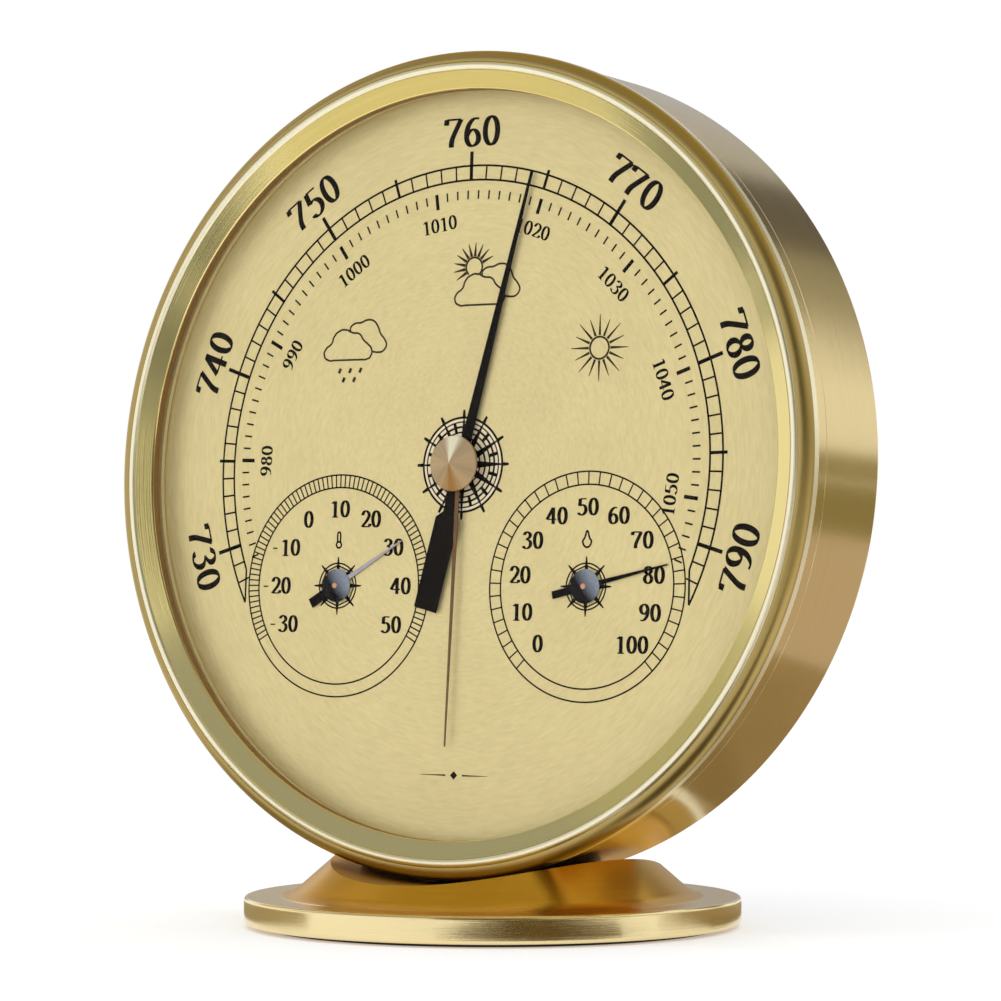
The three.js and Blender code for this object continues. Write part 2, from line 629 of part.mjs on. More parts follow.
// A hand pointing up, from its half widths: a tapered pointer, a round hub and a tail of three widths.
function handOutline({ length, tip, root, hub, tail, neck, neckLength, slab, hole }) {
  const rootAngle = Math.acos(root / hub);
  const neckAngle = Math.acos(neck / hub);
  const flare = slab - neck;
  const shape = new THREE.Shape();
  shape.moveTo(-tip, length);
  shape.lineTo(tip, length);
  shape.absarc(0, 0, hub, rootAngle, -neckAngle, true);
  shape.lineTo(neck, -neckLength);
  shape.lineTo(slab, -neckLength - flare);
  shape.lineTo(slab, -tail);
  shape.lineTo(-slab, -tail);
  shape.lineTo(-slab, -neckLength - flare);
  shape.lineTo(-neck, -neckLength);
  shape.absarc(0, 0, hub, Math.PI + neckAngle, Math.PI - rootAngle, true);
  shape.closePath();
  shape.holes.push(bore(hole));
  return shape;
}

function makeSetHand() {
  const shape = handOutline({
    length: SET_HAND_LENGTH,
    tip: SET_HAND_TIP_HALF,
    root: SET_HAND_ROOT_HALF,
    hub: SET_HAND_HUB_RADIUS,
    tail: SET_HAND_TAIL,
    neck: SET_HAND_ROOT_HALF,
    neckLength: SET_HAND_HUB_RADIUS,
    slab: SET_HAND_TAIL_HALF,
    hole: SPINDLE_RADIUS + PUSH_GAP,
  });
  const geometry = plate(shape, setHandFront, setHandBack).rotateY(SET_HAND_ANGLE);
  return part('set_hand', geometry, PLAIN_BRASS);
}

function makePressureHand() {
  const shape = handOutline({
    length: PRESSURE_HAND_LENGTH,
    tip: PRESSURE_HAND_TIP_HALF,
    root: PRESSURE_HAND_ROOT_HALF,
    hub: HAND_BUSH_RADIUS + HAND_BUSH_COLLAR,
    tail: PRESSURE_HAND_TAIL,
    neck: PRESSURE_HAND_NECK_HALF,
    neckLength: PRESSURE_HAND_NECK,
    slab: PRESSURE_HAND_SLAB_HALF,
    hole: HAND_BUSH_RADIUS + PUSH_GAP,
  });
  const geometry = plate(shape, pressureHandFront, pressureHandBack).rotateY(PRESSURE_HAND_ANGLE);
  return part('pressure_hand', geometry, BLACK_PAINT);
}

// Pressure movement: the capsule rocks a shaft whose finger swings a toothed sector on the hand's pinion.
function makeMovementPlate() {
  const shape = roundedOutline([
    [-PLATE_TAIL_HALF_WIDTH, PLATE_BOTTOM],
    [PLATE_TAIL_HALF_WIDTH, PLATE_BOTTOM],
    [PLATE_TAIL_HALF_WIDTH, PLATE_SHOULDER],
    [PLATE_HALF_WIDTH, PLATE_SHOULDER],
    [PLATE_HALF_WIDTH, PLATE_TOP],
    [-PLATE_HALF_WIDTH, PLATE_TOP],
    [-PLATE_HALF_WIDTH, PLATE_SHOULDER],
    [-PLATE_TAIL_HALF_WIDTH, PLATE_SHOULDER],
  ], PLATE_CORNER);
  shape.holes.push(bore(ARBOR_PIVOT_RADIUS + RUN_GAP));
  shape.holes.push(bore(CALIBRATION_SCREW_RADIUS + RUN_GAP, 0, CAPSULE_Z));
  for (const [x, z] of pillarPlaces) shape.holes.push(bore(PILLAR_SCREW_RADIUS + SCREW_CLEARANCE, x, z));
  return part('movement_plate', plate(shape, plateFront, plateBack), PLAIN_BRASS);
}

function makeMovementPillars() {
  const front = dialBack + SEAT_GAP;
  const back = plateFront - SEAT_GAP;
  const socket = PILLAR_SCREW_RADIUS + SCREW_CLEARANCE;
  const socketFront = back - PILLAR_SCREW_REACH - SCREW_CLEARANCE;
  const section = [
    [0, front],
    [PILLAR_RADIUS, front],
    [PILLAR_RADIUS, back],
    [socket, back],
    [socket, socketFront],
    [0, socketFront],
  ];
  return partsAt('movement_pillar', turned(section, FASTENER_SEGMENTS), pillarPlaces, PLAIN_BRASS);
}

function makeMovementScrews() {
  const tip = plateFront - SEAT_GAP - PILLAR_SCREW_REACH;
  const headFront = plateBack + SEAT_GAP;
  const section = [
    [0, tip],
    [PILLAR_SCREW_RADIUS, tip],
    [PILLAR_SCREW_RADIUS, headFront],
    [PILLAR_RADIUS, headFront],
    [PILLAR_RADIUS, headFront + PILLAR_SCREW_HEAD],
    [0, headFront + PILLAR_SCREW_HEAD],
  ];
  return partsAt('movement_screw', turned(section, FASTENER_SEGMENTS), pillarPlaces, STEEL);
}

function makeCapsuleBack() {
  const radius = CAPSULE_RADIUS - CAPSULE_WALL - SEAT_GAP;
  const geometry = rod(radius, capsuleBackFront, plateFront - SEAT_GAP, SMALL_SEGMENTS * 2);
  return part('capsule_back', geometry.translate(0, 0, CAPSULE_Z), STEEL);
}

function makeCapsuleFront() {
  const face = capsuleLidBack - CAPSULE_WALL;
  const postTip = rockerArmBack + SEAT_GAP;
  const ripple = (CAPSULE_RADIUS - CAPSULE_POST_RADIUS) / 6;
  const ripples = [1, 2, 3, 4, 5].map((i) => {
    return [CAPSULE_POST_RADIUS + ripple * i, face + (i % 2 === 0 ? CAPSULE_RIPPLE : 0)];
  });
  const section = [
    [0, postTip],
    [CAPSULE_POST_RADIUS, postTip],
    [CAPSULE_POST_RADIUS, face],
    ...ripples,
    [CAPSULE_RADIUS, face],
    [CAPSULE_RADIUS, face + CAPSULE_SKIRT],
    [CAPSULE_RADIUS - CAPSULE_WALL, face + CAPSULE_SKIRT],
    [CAPSULE_RADIUS - CAPSULE_WALL, capsuleLidBack],
    [0, capsuleLidBack],
  ];
  return part('capsule_front', turned(section, SMALL_SEGMENTS * 2).translate(0, 0, CAPSULE_Z), STEEL);
}

function makeCalibrationScrew() {
  const headFront = plateBack + SEAT_GAP;
  const headBack = headFront + CALIBRATION_HEAD;
  const section = [
    [0, plateFront],
    [CALIBRATION_SCREW_RADIUS, plateFront],
    [CALIBRATION_SCREW_RADIUS, headFront],
    [CALIBRATION_HEAD_RADIUS, headFront],
    [CALIBRATION_HEAD_RADIUS, headBack],
    [0, headBack],
  ];
  const slot = new THREE.BoxGeometry(CALIBRATION_HEAD_RADIUS * 3, CALIBRATION_HEAD, CALIBRATION_SLOT);
  slot.translate(0, headBack, 0);
  const geometry = cut(turned(section, SMALL_SEGMENTS), slot).translate(0, 0, CAPSULE_Z);
  return part('calibration_screw', geometry, PLAIN_BRASS);
}

// One straight-flanked tooth, as [angle, radius] corners about the wheel's axis.
function toothCorners(pitchRadius, middle) {
  const half = (Math.PI * gearModule / 2 - GEAR_BACKLASH) / 2;
  const rise = GEAR_ADDENDUM * gearModule;
  const fall = GEAR_DEDENDUM * gearModule;
  const tip = (half - rise * Math.tan(GEAR_FLANK)) / (pitchRadius + rise);
  const root = (half + fall * Math.tan(GEAR_FLANK)) / (pitchRadius - fall);
  return [
    [middle - root, pitchRadius - fall],
    [middle - tip, pitchRadius + rise],
    [middle + tip, pitchRadius + rise],
    [middle + root, pitchRadius - fall],
  ];
}

function outlineOf(polar, centreZ) {
  return new THREE.Shape(polar.toReversed().map(([angle, radius]) => {
    return new THREE.Vector2(radius * Math.sin(angle), centreZ + radius * Math.cos(angle));
  }));
}

function makePointerArbor() {
  const pitchRadius = gearModule * PINION_TEETH / 2;
  const toothAngle = Math.PI * 2 / PINION_TEETH;
  const corners = [];
  for (let i = 0; i < PINION_TEETH; i += 1) {
    corners.push(...toothCorners(pitchRadius, Math.PI + toothAngle * (i + 0.5)));
  }
  const pinion = plate(outlineOf(corners, 0), sectorFront - PINION_OVERHANG, sectorBack + PINION_OVERHANG);
  const shoulder = plateFront - SEAT_GAP;
  const shaft = turned([
    [0, pressureHandFront],
    [ARBOR_RADIUS, pressureHandFront],
    [ARBOR_RADIUS, shoulder],
    [ARBOR_PIVOT_RADIUS, shoulder],
    [ARBOR_PIVOT_RADIUS, plateBack],
    [0, plateBack],
  ], SMALL_SEGMENTS);
  return part('pointer_arbor', join(shaft, pinion), STEEL);
}

function makeHandBush() {
  const inner = ARBOR_RADIUS + PUSH_GAP;
  const geometry = ring(inner, HAND_BUSH_RADIUS, pressureHandFront, dialFront, SMALL_SEGMENTS);
  return part('hand_bush', geometry, PLAIN_BRASS);
}

function makeArborBridge() {
  const end = PILLAR_X + BRIDGE_END;
  const shape = roundedOutline([
    [-end, -BRIDGE_HALF_HEIGHT],
    [end, -BRIDGE_HALF_HEIGHT],
    [end, BRIDGE_HALF_HEIGHT],
    [-end, BRIDGE_HALF_HEIGHT],
  ], BRIDGE_CORNER);
  shape.holes.push(bore(ARBOR_RADIUS + RUN_GAP));
  for (const side of [-1, 1]) shape.holes.push(bore(PILLAR_RADIUS + SEAT_GAP, side * PILLAR_X, 0));
  const front = dialBack + SEAT_GAP;
  return part('arbor_bridge', plate(shape, front, front + BRIDGE_THICKNESS), PLAIN_BRASS);
}

function makeSectorGear() {
  const pitchRadius = gearModule * SECTOR_WHEEL_TEETH / 2;
  const toothAngle = Math.PI * 2 / SECTOR_WHEEL_TEETH;
  const rimRadius = pitchRadius - GEAR_DEDENDUM * gearModule;
  const rimInner = rimRadius - SECTOR_RIM;
  const left = (SECTOR_FIRST_TOOTH - 0.5) * toothAngle;
  const right = (SECTOR_LAST_TOOTH + 0.5) * toothAngle;
  const corners = [[left, rimRadius]];
  for (let i = SECTOR_FIRST_TOOTH; i <= SECTOR_LAST_TOOTH; i += 1) {
    corners.push(...toothCorners(pitchRadius, i * toothAngle));
  }
  corners.push([right, rimRadius], [right, rimInner], [Math.PI / 2, SECTOR_HUB_RADIUS]);
  for (let i = 1; i < ARC_STEPS; i += 1) {
    corners.push([Math.PI / 2 + Math.PI * i / ARC_STEPS, SECTOR_HUB_RADIUS]);
  }
  corners.push([-Math.PI / 2, SECTOR_HUB_RADIUS], [left, rimInner]);
  const shape = outlineOf(corners, sectorPivotZ);
  shape.holes.push(bore(SECTOR_POST_RADIUS + RUN_GAP, 0, sectorPivotZ));
  const spokeAngle = SECTOR_SPOKE / rimInner;
  const window = outlineOf([
    [left + spokeAngle, rimInner],
    [right - spokeAngle, rimInner],
    [right * SECTOR_WINDOW_TAPER, SECTOR_WINDOW_BOTTOM],
    [left * SECTOR_WINDOW_TAPER, SECTOR_WINDOW_BOTTOM],
  ], sectorPivotZ);
  shape.holes.push(window);
  const pinFront = sectorFront - FINGER_TO_SECTOR - SECTOR_PIN_OVERRUN;
  const pin = rod(SECTOR_PIN_RADIUS, pinFront, sectorBack).translate(0, 0, sectorPinZ);
  return part('sector_gear', join(plate(shape, sectorFront, sectorBack), pin), PLAIN_BRASS);
}

function makeSectorPost() {
  const collarFront = sectorBack + SEAT_GAP;
  const foot = plateFront - SEAT_GAP;
  const section = [
    [0, sectorFront - SEAT_GAP],
    [SECTOR_POST_RADIUS, sectorFront - SEAT_GAP],
    [SECTOR_POST_RADIUS, collarFront],
    [SECTOR_COLLAR_RADIUS, collarFront],
    [SECTOR_COLLAR_RADIUS, foot],
    [0, foot],
  ];
  return part('sector_post', turned(section, FASTENER_SEGMENTS).translate(0, 0, sectorPivotZ), STEEL);
}

function makeRocker() {
  const half = ROCKER_ARM_WIDTH / 2;
  const pivotReach = BRACKET_AIR + BRACKET_THICKNESS;
  const shaft = turnedUpright([
    [0, ROCKER_BOTTOM - pivotReach],
    [ROCKER_PIVOT_RADIUS, ROCKER_BOTTOM - pivotReach],
    [ROCKER_PIVOT_RADIUS, ROCKER_BOTTOM],
    [ROCKER_RADIUS, ROCKER_BOTTOM],
    [ROCKER_RADIUS, ROCKER_TOP],
    [ROCKER_PIVOT_RADIUS, ROCKER_TOP],
    [ROCKER_PIVOT_RADIUS, ROCKER_TOP + pivotReach],
    [0, ROCKER_TOP + pivotReach],
  ], SMALL_SEGMENTS).translate(ROCKER_X, rockerY, 0);
  const armOutline = roundedOutline([
    [ROCKER_X, ROCKER_ARM_Z - half],
    [ROCKER_ARM_ELBOW_X + half, ROCKER_ARM_Z - half],
    [half, CAPSULE_Z + half],
    [-half, CAPSULE_Z + half],
    [ROCKER_ARM_ELBOW_X - half, ROCKER_ARM_Z + half],
    [ROCKER_X, ROCKER_ARM_Z + half],
  ], ROCKER_ARM_CORNER);
  const arm = plate(armOutline, rockerArmBack - ROCKER_ARM_THICKNESS, rockerArmBack);
  const fingerEndX = -SECTOR_PIN_RADIUS - SEAT_GAP * 2;
  const run = fingerEndX - ROCKER_X;
  const fingerLength = Math.hypot(run, fingerDrop);
  const finger = new THREE.BoxGeometry(fingerLength, ROCKER_ARM_THICKNESS, ROCKER_FINGER_WIDTH);
  finger.rotateZ(Math.atan2(fingerDrop, run));
  finger.translate(ROCKER_X + run / 2, rockerY + fingerDrop / 2, sectorPinZ);
  return part('rocker', join(shaft, arm, finger), STEEL);
}

function makeRockerBrackets() {
  const back = plateFront - SEAT_GAP;
  const shape = new THREE.Shape();
  shape.moveTo(-BRACKET_HALF_WIDTH, back);
  shape.absarc(0, rockerY, BRACKET_HALF_WIDTH, Math.PI, Math.PI * 2, false);
  shape.lineTo(BRACKET_HALF_WIDTH, back);
  shape.closePath();
  shape.holes.push(bore(ROCKER_PIVOT_RADIUS + RUN_GAP, 0, rockerY));
  const options = { depth: BRACKET_THICKNESS, bevelEnabled: false, curveSegments: SMALL_SEGMENTS / 4 };
  const places = [
    [ROCKER_X, ROCKER_BOTTOM - BRACKET_AIR - BRACKET_THICKNESS],
    [ROCKER_X, ROCKER_TOP + BRACKET_AIR],
  ];
  return partsAt('rocker_bracket', new THREE.ExtrudeGeometry(shape, options), places, PLAIN_BRASS);
}

// A flat strip wound from an inner to an outer radius, ending straight up.
function spiralOutline(inner, outer, turns, strip) {
  const steps = turns * COIL_STEPS;
  const place = (i, offset) => {
    const radius = inner + (outer - inner) * i / steps + offset;
    const angle = Math.PI * 2 * turns * (i / steps - 1) + Math.PI / 2;
    return new THREE.Vector2(radius * Math.cos(angle), radius * Math.sin(angle));
  };
  const outside = Array.from({ length: steps + 1 }, (_, i) => place(i, strip / 2));
  const inside = Array.from({ length: steps + 1 }, (_, i) => place(steps - i, -strip / 2));
  return new THREE.Shape([...outside, ...inside]);
}

function makeHairspring() {
  const inner = COLLET_RADIUS + SEAT_GAP + HAIRSPRING_STRIP;
  const shape = spiralOutline(inner, HAIRSPRING_RADIUS, HAIRSPRING_TURNS, HAIRSPRING_STRIP);
  return part('hairspring', plate(shape, hairspringFront, hairspringBack), STEEL);
}

function makeHairspringCollet() {
  const inner = ARBOR_RADIUS + PUSH_GAP;
  const geometry = ring(inner, COLLET_RADIUS, hairspringFront, hairspringBack, SMALL_SEGMENTS);
  return part('hairspring_collet', geometry, PLAIN_BRASS);
}

function makeHairspringStud() {
  const z = HAIRSPRING_RADIUS + HAIRSPRING_STRIP / 2 + SEAT_GAP + HAIRSPRING_STUD_RADIUS;
  const stud = rod(HAIRSPRING_STUD_RADIUS, hairspringFront, plateFront - SEAT_GAP).translate(0, 0, z);
  return part('hairspring_stud', stud, PLAIN_BRASS);
}

// Coil units: a cup behind the dial holds a coil that turns a small hand through the dial.
function makeCoilUnit(name, side, hand, coilFinish) {
  const cupFront = dialBack + SEAT_GAP;
  const cupBack = cupFront + UNIT_DEPTH;
  const floor = cupBack - UNIT_WALL;
  const pivotHole = UNIT_ARBOR_RADIUS + RUN_GAP;
  const cup = turned([
    [pivotHole, floor],
    [unitRadius - UNIT_WALL, floor],
    [unitRadius - UNIT_WALL, cupFront],
    [unitRadius, cupFront],
    [unitRadius, cupBack],
    [pivotHole, cupBack],
  ], CUP_SEGMENTS);
  const coilBack = floor - SEAT_GAP * 2;
  const coilOuter = unitRadius - UNIT_WALL - SEAT_GAP - UNIT_COIL_STRIP / 2;
  const coilOutline = spiralOutline(UNIT_COIL_CORE, coilOuter, UNIT_COIL_TURNS, UNIT_COIL_STRIP);
  const coil = plate(coilOutline, coilBack - UNIT_COIL_WIDTH, coilBack);
  const capTop = setHandBack + HAND_AIR;
  const capBottom = subHandFront - PUSH_GAP;
  const arbor = turned([
    [0, capTop],
    [SUB_ARBOR_RADIUS, capTop],
    [SUB_ARBOR_RADIUS, cupFront],
    [UNIT_ARBOR_RADIUS, cupFront],
    [UNIT_ARBOR_RADIUS, cupBack],
    [0, cupBack],
  ], SMALL_SEGMENTS);
  const hole = SUB_ARBOR_RADIUS + PUSH_GAP;
  const rise = capBottom - capTop;
  const crown = [[hole, capBottom]];
  for (let i = 0; i <= ARC_STEPS; i += 1) {
    const radius = SUB_CAP_RADIUS + (hole - SUB_CAP_RADIUS) * i / ARC_STEPS;
    crown.push([radius, capTop + rise * SUB_CAP_CROWN * (radius / SUB_CAP_RADIUS) ** 2]);
  }
  crown.splice(1, 0, [SUB_CAP_RADIUS, capBottom]);
  const handShape = handOutline({
    length: hand.length,
    tip: SUB_HAND_TIP_HALF,
    root: SUB_HAND_ROOT_HALF,
    hub: SUB_HAND_HUB_RADIUS,
    tail: hand.tail,
    neck: SUB_HAND_NECK_HALF,
    neckLength: SUB_CAP_RADIUS,
    slab: hand.slab,
    hole,
  });
  const group = new THREE.Group();
  group.position.set(side * SUB_DIAL_X, 0, -SUB_DIAL_DROP);
  group.add(
    part(`${name}_cup`, cup, DARK_PLASTIC),
    part(`${name}_coil`, coil, coilFinish),
    part(`${name}_arbor`, arbor, COPPER),
    part(`${name}_hand`, plate(handShape, subHandFront, subHandBack).rotateY(hand.angle), BLACK_PAINT),
    part(`${name}_cap`, turned(crown, SMALL_SEGMENTS), BLACK_PAINT),
  );
  return group;
}

const thermoHand = {
  length: THERMO_HAND_LENGTH,
  tail: THERMO_HAND_TAIL,
  slab: THERMO_HAND_SLAB_HALF,
  angle: THERMO_HAND_ANGLE,
};
const hygroHand = {
  length: HYGRO_HAND_LENGTH,
  tail: HYGRO_HAND_TAIL,
  slab: HYGRO_HAND_SLAB_HALF,
  angle: HYGRO_HAND_ANGLE,
};

const caseGroup = new THREE.Group();
caseGroup.rotation.x = -LEAN;
caseGroup.position.setFromMatrixPosition(caseFrame);
caseGroup.add(
  makeSaddlePad(),
  makeNutBar(),
  makeCaseDrum(),
  makeBezel(),
  makeGlass(),
  makeSpacerRing(),
  makeDialPlate(),
  makeRetainingRing(),
  makeBackCover(),
  ...makeBackCoverScrews(),
  makeSetKnob(),
  makeKnobSpindle(),
  makeKnobBush(),
  makeSetHand(),
  makePressureHand(),
  makeHandBush(),
  makePointerArbor(),
  makeArborBridge(),
  makeMovementPlate(),
  ...makeMovementPillars(),
  ...makeMovementScrews(),
  makeCapsuleBack(),
  makeCapsuleFront(),
  makeCalibrationScrew(),
  makeSectorGear(),
  makeSectorPost(),
  makeRocker(),
  ...makeRockerBrackets(),
  makeHairspring(),
  makeHairspringCollet(),
  makeHairspringStud(),
  makeCoilUnit('thermo', -1, thermoHand, COPPER),
  makeCoilUnit('hygro', 1, hygroHand, FOIL),
);

const station = new THREE.Group();
station.add(makeBase(), makeBasePad(), ...makeBaseScrews(), caseGroup);

export default station;
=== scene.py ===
import json
import math

import bmesh
import bpy
from mathutils import Euler, Matrix, Vector


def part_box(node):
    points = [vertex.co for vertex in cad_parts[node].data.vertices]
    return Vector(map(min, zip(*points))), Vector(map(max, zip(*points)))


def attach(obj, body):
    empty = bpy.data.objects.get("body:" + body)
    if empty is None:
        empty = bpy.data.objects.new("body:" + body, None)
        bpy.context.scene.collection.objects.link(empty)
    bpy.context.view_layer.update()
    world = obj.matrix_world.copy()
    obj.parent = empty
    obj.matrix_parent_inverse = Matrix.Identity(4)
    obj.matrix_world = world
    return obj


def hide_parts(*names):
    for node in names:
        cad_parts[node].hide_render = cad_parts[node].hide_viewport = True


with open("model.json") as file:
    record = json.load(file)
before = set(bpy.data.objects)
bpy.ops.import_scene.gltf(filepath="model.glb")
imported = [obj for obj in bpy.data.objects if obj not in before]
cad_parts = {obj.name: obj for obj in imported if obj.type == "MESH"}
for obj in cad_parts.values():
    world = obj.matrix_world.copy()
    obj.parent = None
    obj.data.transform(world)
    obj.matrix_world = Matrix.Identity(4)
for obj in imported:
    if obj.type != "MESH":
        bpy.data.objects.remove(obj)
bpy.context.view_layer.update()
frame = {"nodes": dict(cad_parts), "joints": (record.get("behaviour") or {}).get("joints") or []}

# Base
# One turned piece of brass: a flange whose rim is bright cut, a neck with a satin finish that slopes in from
# it, and a saddle milled across the neck to the curve of the case. Its lacquer has an amber tone. The rim's
# paler tones are partly a painted highlight, and the neck's deeper, darker tones are painted shade under the
# case.
MM = 0.001
TURN_STEPS = 160
FINE_TURN_STEPS = TURN_STEPS * 2
ROD_STEPS = 32
ROUND_PROFILE = 0.5
SHARP_ANGLE = math.radians(32)
MERGE_DISTANCE = 1e-7
HOLD = 0.12
LONG_RUN = HOLD * 4
MARKS_DETAIL = 3.0
POINTER_DEPTH = 5.5
BASE_TOP = 4.9
BASE_LIFT = 0.6
BASE_EDGE_ROUND = 0.5
NECK_FOOT_RADIUS = 32.8
NECK_SLOPE = math.radians(41)
NECK_FILLET = 5.0
NECK_BLANK_TOP = 18.0
SADDLE_RADIUS = 66.7
PAD_RECESS_RADIUS = 37.25
PAD_RECESS_TOP = 1.45
BASE_SCREW_SPREAD = 9.0
BASE_SCREW_HOLE = 2.2
BASE_SCREW_HEAD_HOLE = 3.7
BASE_SCREW_HEAD_TOP = 3.9
AMBER_TONES = (0.74, 0.47, 0.11), (0.84, 0.58, 0.18)
# Painted shade: the neck's tones are deeper and darker than the flange's.
NECK_PAINTED_SHADE_TONES = (0.64, 0.34, 0.030), (0.76, 0.45, 0.065)
# Painted highlight: the rim's tones are paler than the flange's, besides its bright cut.
RIM_PAINTED_HIGHLIGHT_TONES = (0.85, 0.69, 0.35), (0.93, 0.79, 0.46)

pointer_joint = next(joint for joint in frame["joints"] if joint["name"] == "pointer_turn")
dial_axis = Vector(pointer_joint["axis"])
case_origin = Vector(pointer_joint["pos_m"]) - dial_axis * POINTER_DEPTH * MM
case_lean = math.atan2(-dial_axis.z, dial_axis.y)
case_turn = (-case_lean, 0, 0)
upright_turn = (math.radians(90), 0, 0)

# From millimetres in the case, with Y into it from the front of the bezel, and on the base, to the frame.
CASE = Matrix.Translation(case_origin) @ Matrix.Rotation(-case_lean, 4, "X") @ Matrix.Scale(MM, 4)
STAND = Matrix.Rotation(math.radians(90), 4, "X") @ Matrix.Scale(MM, 4)


def turned(section, rounds=(), steps=TURN_STEPS):
    """A piece turned about Y from (radius, depth) corners. Rounds are (corner, size, steps) of its edges.

    Points close to the ends of each long run keep it flat under smooth shading.
    """
    bm = bmesh.new()
    corners = [bm.verts.new((radius, depth, 0)) for radius, depth in section]
    for here, there in zip(corners, corners[1:]):
        bm.edges.new((here, there))
    if section[0][0] > 0:
        bm.edges.new((corners[-1], corners[0]))
    for corner, size, segments in rounds:
        bmesh.ops.bevel(bm, geom=[corners[corner]], offset=size, affect="VERTICES",
                        segments=segments, profile=ROUND_PROFILE, material=-1)
    for edge in [edge for edge in bm.edges if edge.calc_length() > LONG_RUN]:
        length = edge.calc_length()
        start, end = edge.verts
        bmesh.utils.edge_split(edge, start, HOLD / length)
        bmesh.utils.edge_split(edge, end, HOLD / (length - HOLD))
    bmesh.ops.spin(bm, geom=bm.verts[:] + bm.edges[:], cent=(0, 0, 0), axis=(0, 1, 0),
                   angle=math.tau, steps=steps, use_merge=True)
    return bm


def ring(inner, outer, front, back, rounds=(), steps=TURN_STEPS):
    return turned([(inner, front), (outer, front), (outer, back), (inner, back)], rounds, steps)


def moved(bm, x, z):
    bmesh.ops.translate(bm, verts=bm.verts, vec=(x, 0, z))
    return bm


def rod(radius, front, back, x=0, z=0, steps=ROD_STEPS):
    return moved(ring(0, radius, front, back, steps=steps), x, z)


def shaped(name, bm, place):
    """An object at the origin from a bmesh in millimetres, with its seams closed and its faces outwards."""
    bm.transform(place)
    bmesh.ops.remove_doubles(bm, verts=bm.verts, dist=MERGE_DISTANCE)
    bmesh.ops.recalc_face_normals(bm, faces=bm.faces)
    mesh = bpy.data.meshes.new(name)
    bm.to_mesh(mesh)
    bm.free()
    mesh.shade_smooth()
    mesh.set_sharp_from_angle(angle=SHARP_ANGLE)
    made = bpy.data.objects.new(name, mesh)
    bpy.context.scene.collection.objects.link(made)
    return made


def cut(blank, *tools):
    """Takes each tool's shape out of the blank."""
    for tool in tools:
        modifier = blank.modifiers.new("cut", "BOOLEAN")
        modifier.operation = "DIFFERENCE"
        modifier.solver = "EXACT"
        modifier.object = tool
        seen = blank.evaluated_get(bpy.context.evaluated_depsgraph_get())
        mesh = bpy.data.meshes.new_from_object(seen)
        blank.modifiers.clear()
        blank.data = mesh
        mesh.shade_smooth()
        mesh.set_sharp_from_angle(angle=SHARP_ANGLE)
        bpy.data.objects.remove(tool)
    return blank


def fitted(made, material, body, slot, *nodes):
    """Gives a finished piece its material, and lets it ride on its body in place of its CAD nodes."""
    made.data.materials.clear()
    made.data.materials.append(material)
    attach(made, body)
    if nodes:
        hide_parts(*nodes)


def refinished(made, material, place, wanted):
    """Gives the faces that pass a test on their radius and depth, in millimetres, a material of their own,
    which holds a finish of their own on some faces and painted highlight and shade on others.
    """
    made.data.materials.append(material)
    added = len(made.data.materials) - 1
    for face in made.data.polygons:
        x, y, z = place.inverted() @ face.center
        if wanted(math.hypot(x, z), y):
            face.material_index = added


def effect_group(name, inputs):
    """An empty shader group that reads a place in millimetres and puts out one mask called Marks."""
    group = bpy.data.node_groups.new(name, "ShaderNodeTree")
    group.interface.new_socket("Place", in_out="INPUT", socket_type="NodeSocketVector")
    for label, value in inputs:
        socket = group.interface.new_socket(label, in_out="INPUT", socket_type="NodeSocketFloat")
        socket.default_value = value
    group.interface.new_socket("Marks", in_out="OUTPUT", socket_type="NodeSocketFloat")
    return group, group.nodes.new("NodeGroupInput"), group.nodes.new("NodeGroupOutput")


def maths(tree, operation, first, second=None):
    node = tree.nodes.new("ShaderNodeMath")
    node.operation = operation
    for socket, value in zip(node.inputs, (first, second)):
        if isinstance(value, bpy.types.NodeSocket):
            tree.links.new(value, socket)
        elif value is not None:
            socket.default_value = value
    return node.outputs[0]


def connected(tree, node, inputs):
    """A node with each named input set to a value or linked to another node's output."""
    for label, value in inputs.items():
        if isinstance(value, bpy.types.NodeSocket):
            tree.links.new(value, node.inputs[label])
        else:
            node.inputs[label].default_value = value
    return node


def split(tree, place):
    node = tree.nodes.new("ShaderNodeSeparateXYZ")
    tree.links.new(place, node.inputs[0])
    return node.outputs


def turning_marks():
    """Fine lines round the Y axis, as a lathe and an abrasive pad leave them."""
    group, given, result = effect_group("Turning marks", [("Fineness", 7.0), ("Run", 2.0)])
    x, y, z = split(group, given.outputs["Place"])
    fineness, run = given.outputs["Fineness"], given.outputs["Run"]
    angle = maths(group, "ARCTAN2", z, x)
    square = maths(group, "ADD", maths(group, "MULTIPLY", x, x), maths(group, "MULTIPLY", z, z))
    around = connected(group, group.nodes.new("ShaderNodeCombineXYZ"), {
        "X": maths(group, "MULTIPLY", maths(group, "SQRT", square), fineness),
        "Y": maths(group, "MULTIPLY", maths(group, "COSINE", angle), run),
        "Z": maths(group, "MULTIPLY", maths(group, "SINE", angle), run),
    })
    noise = group.nodes.new("ShaderNodeTexNoise")
    noise.noise_dimensions = "4D"
    connected(group, noise, {
        "Vector": around.outputs[0],
        "W": maths(group, "MULTIPLY", y, fineness),
        "Scale": 1.0,
        "Detail": MARKS_DETAIL,
    })
    group.links.new(noise.outputs[0], result.inputs["Marks"])
    return group


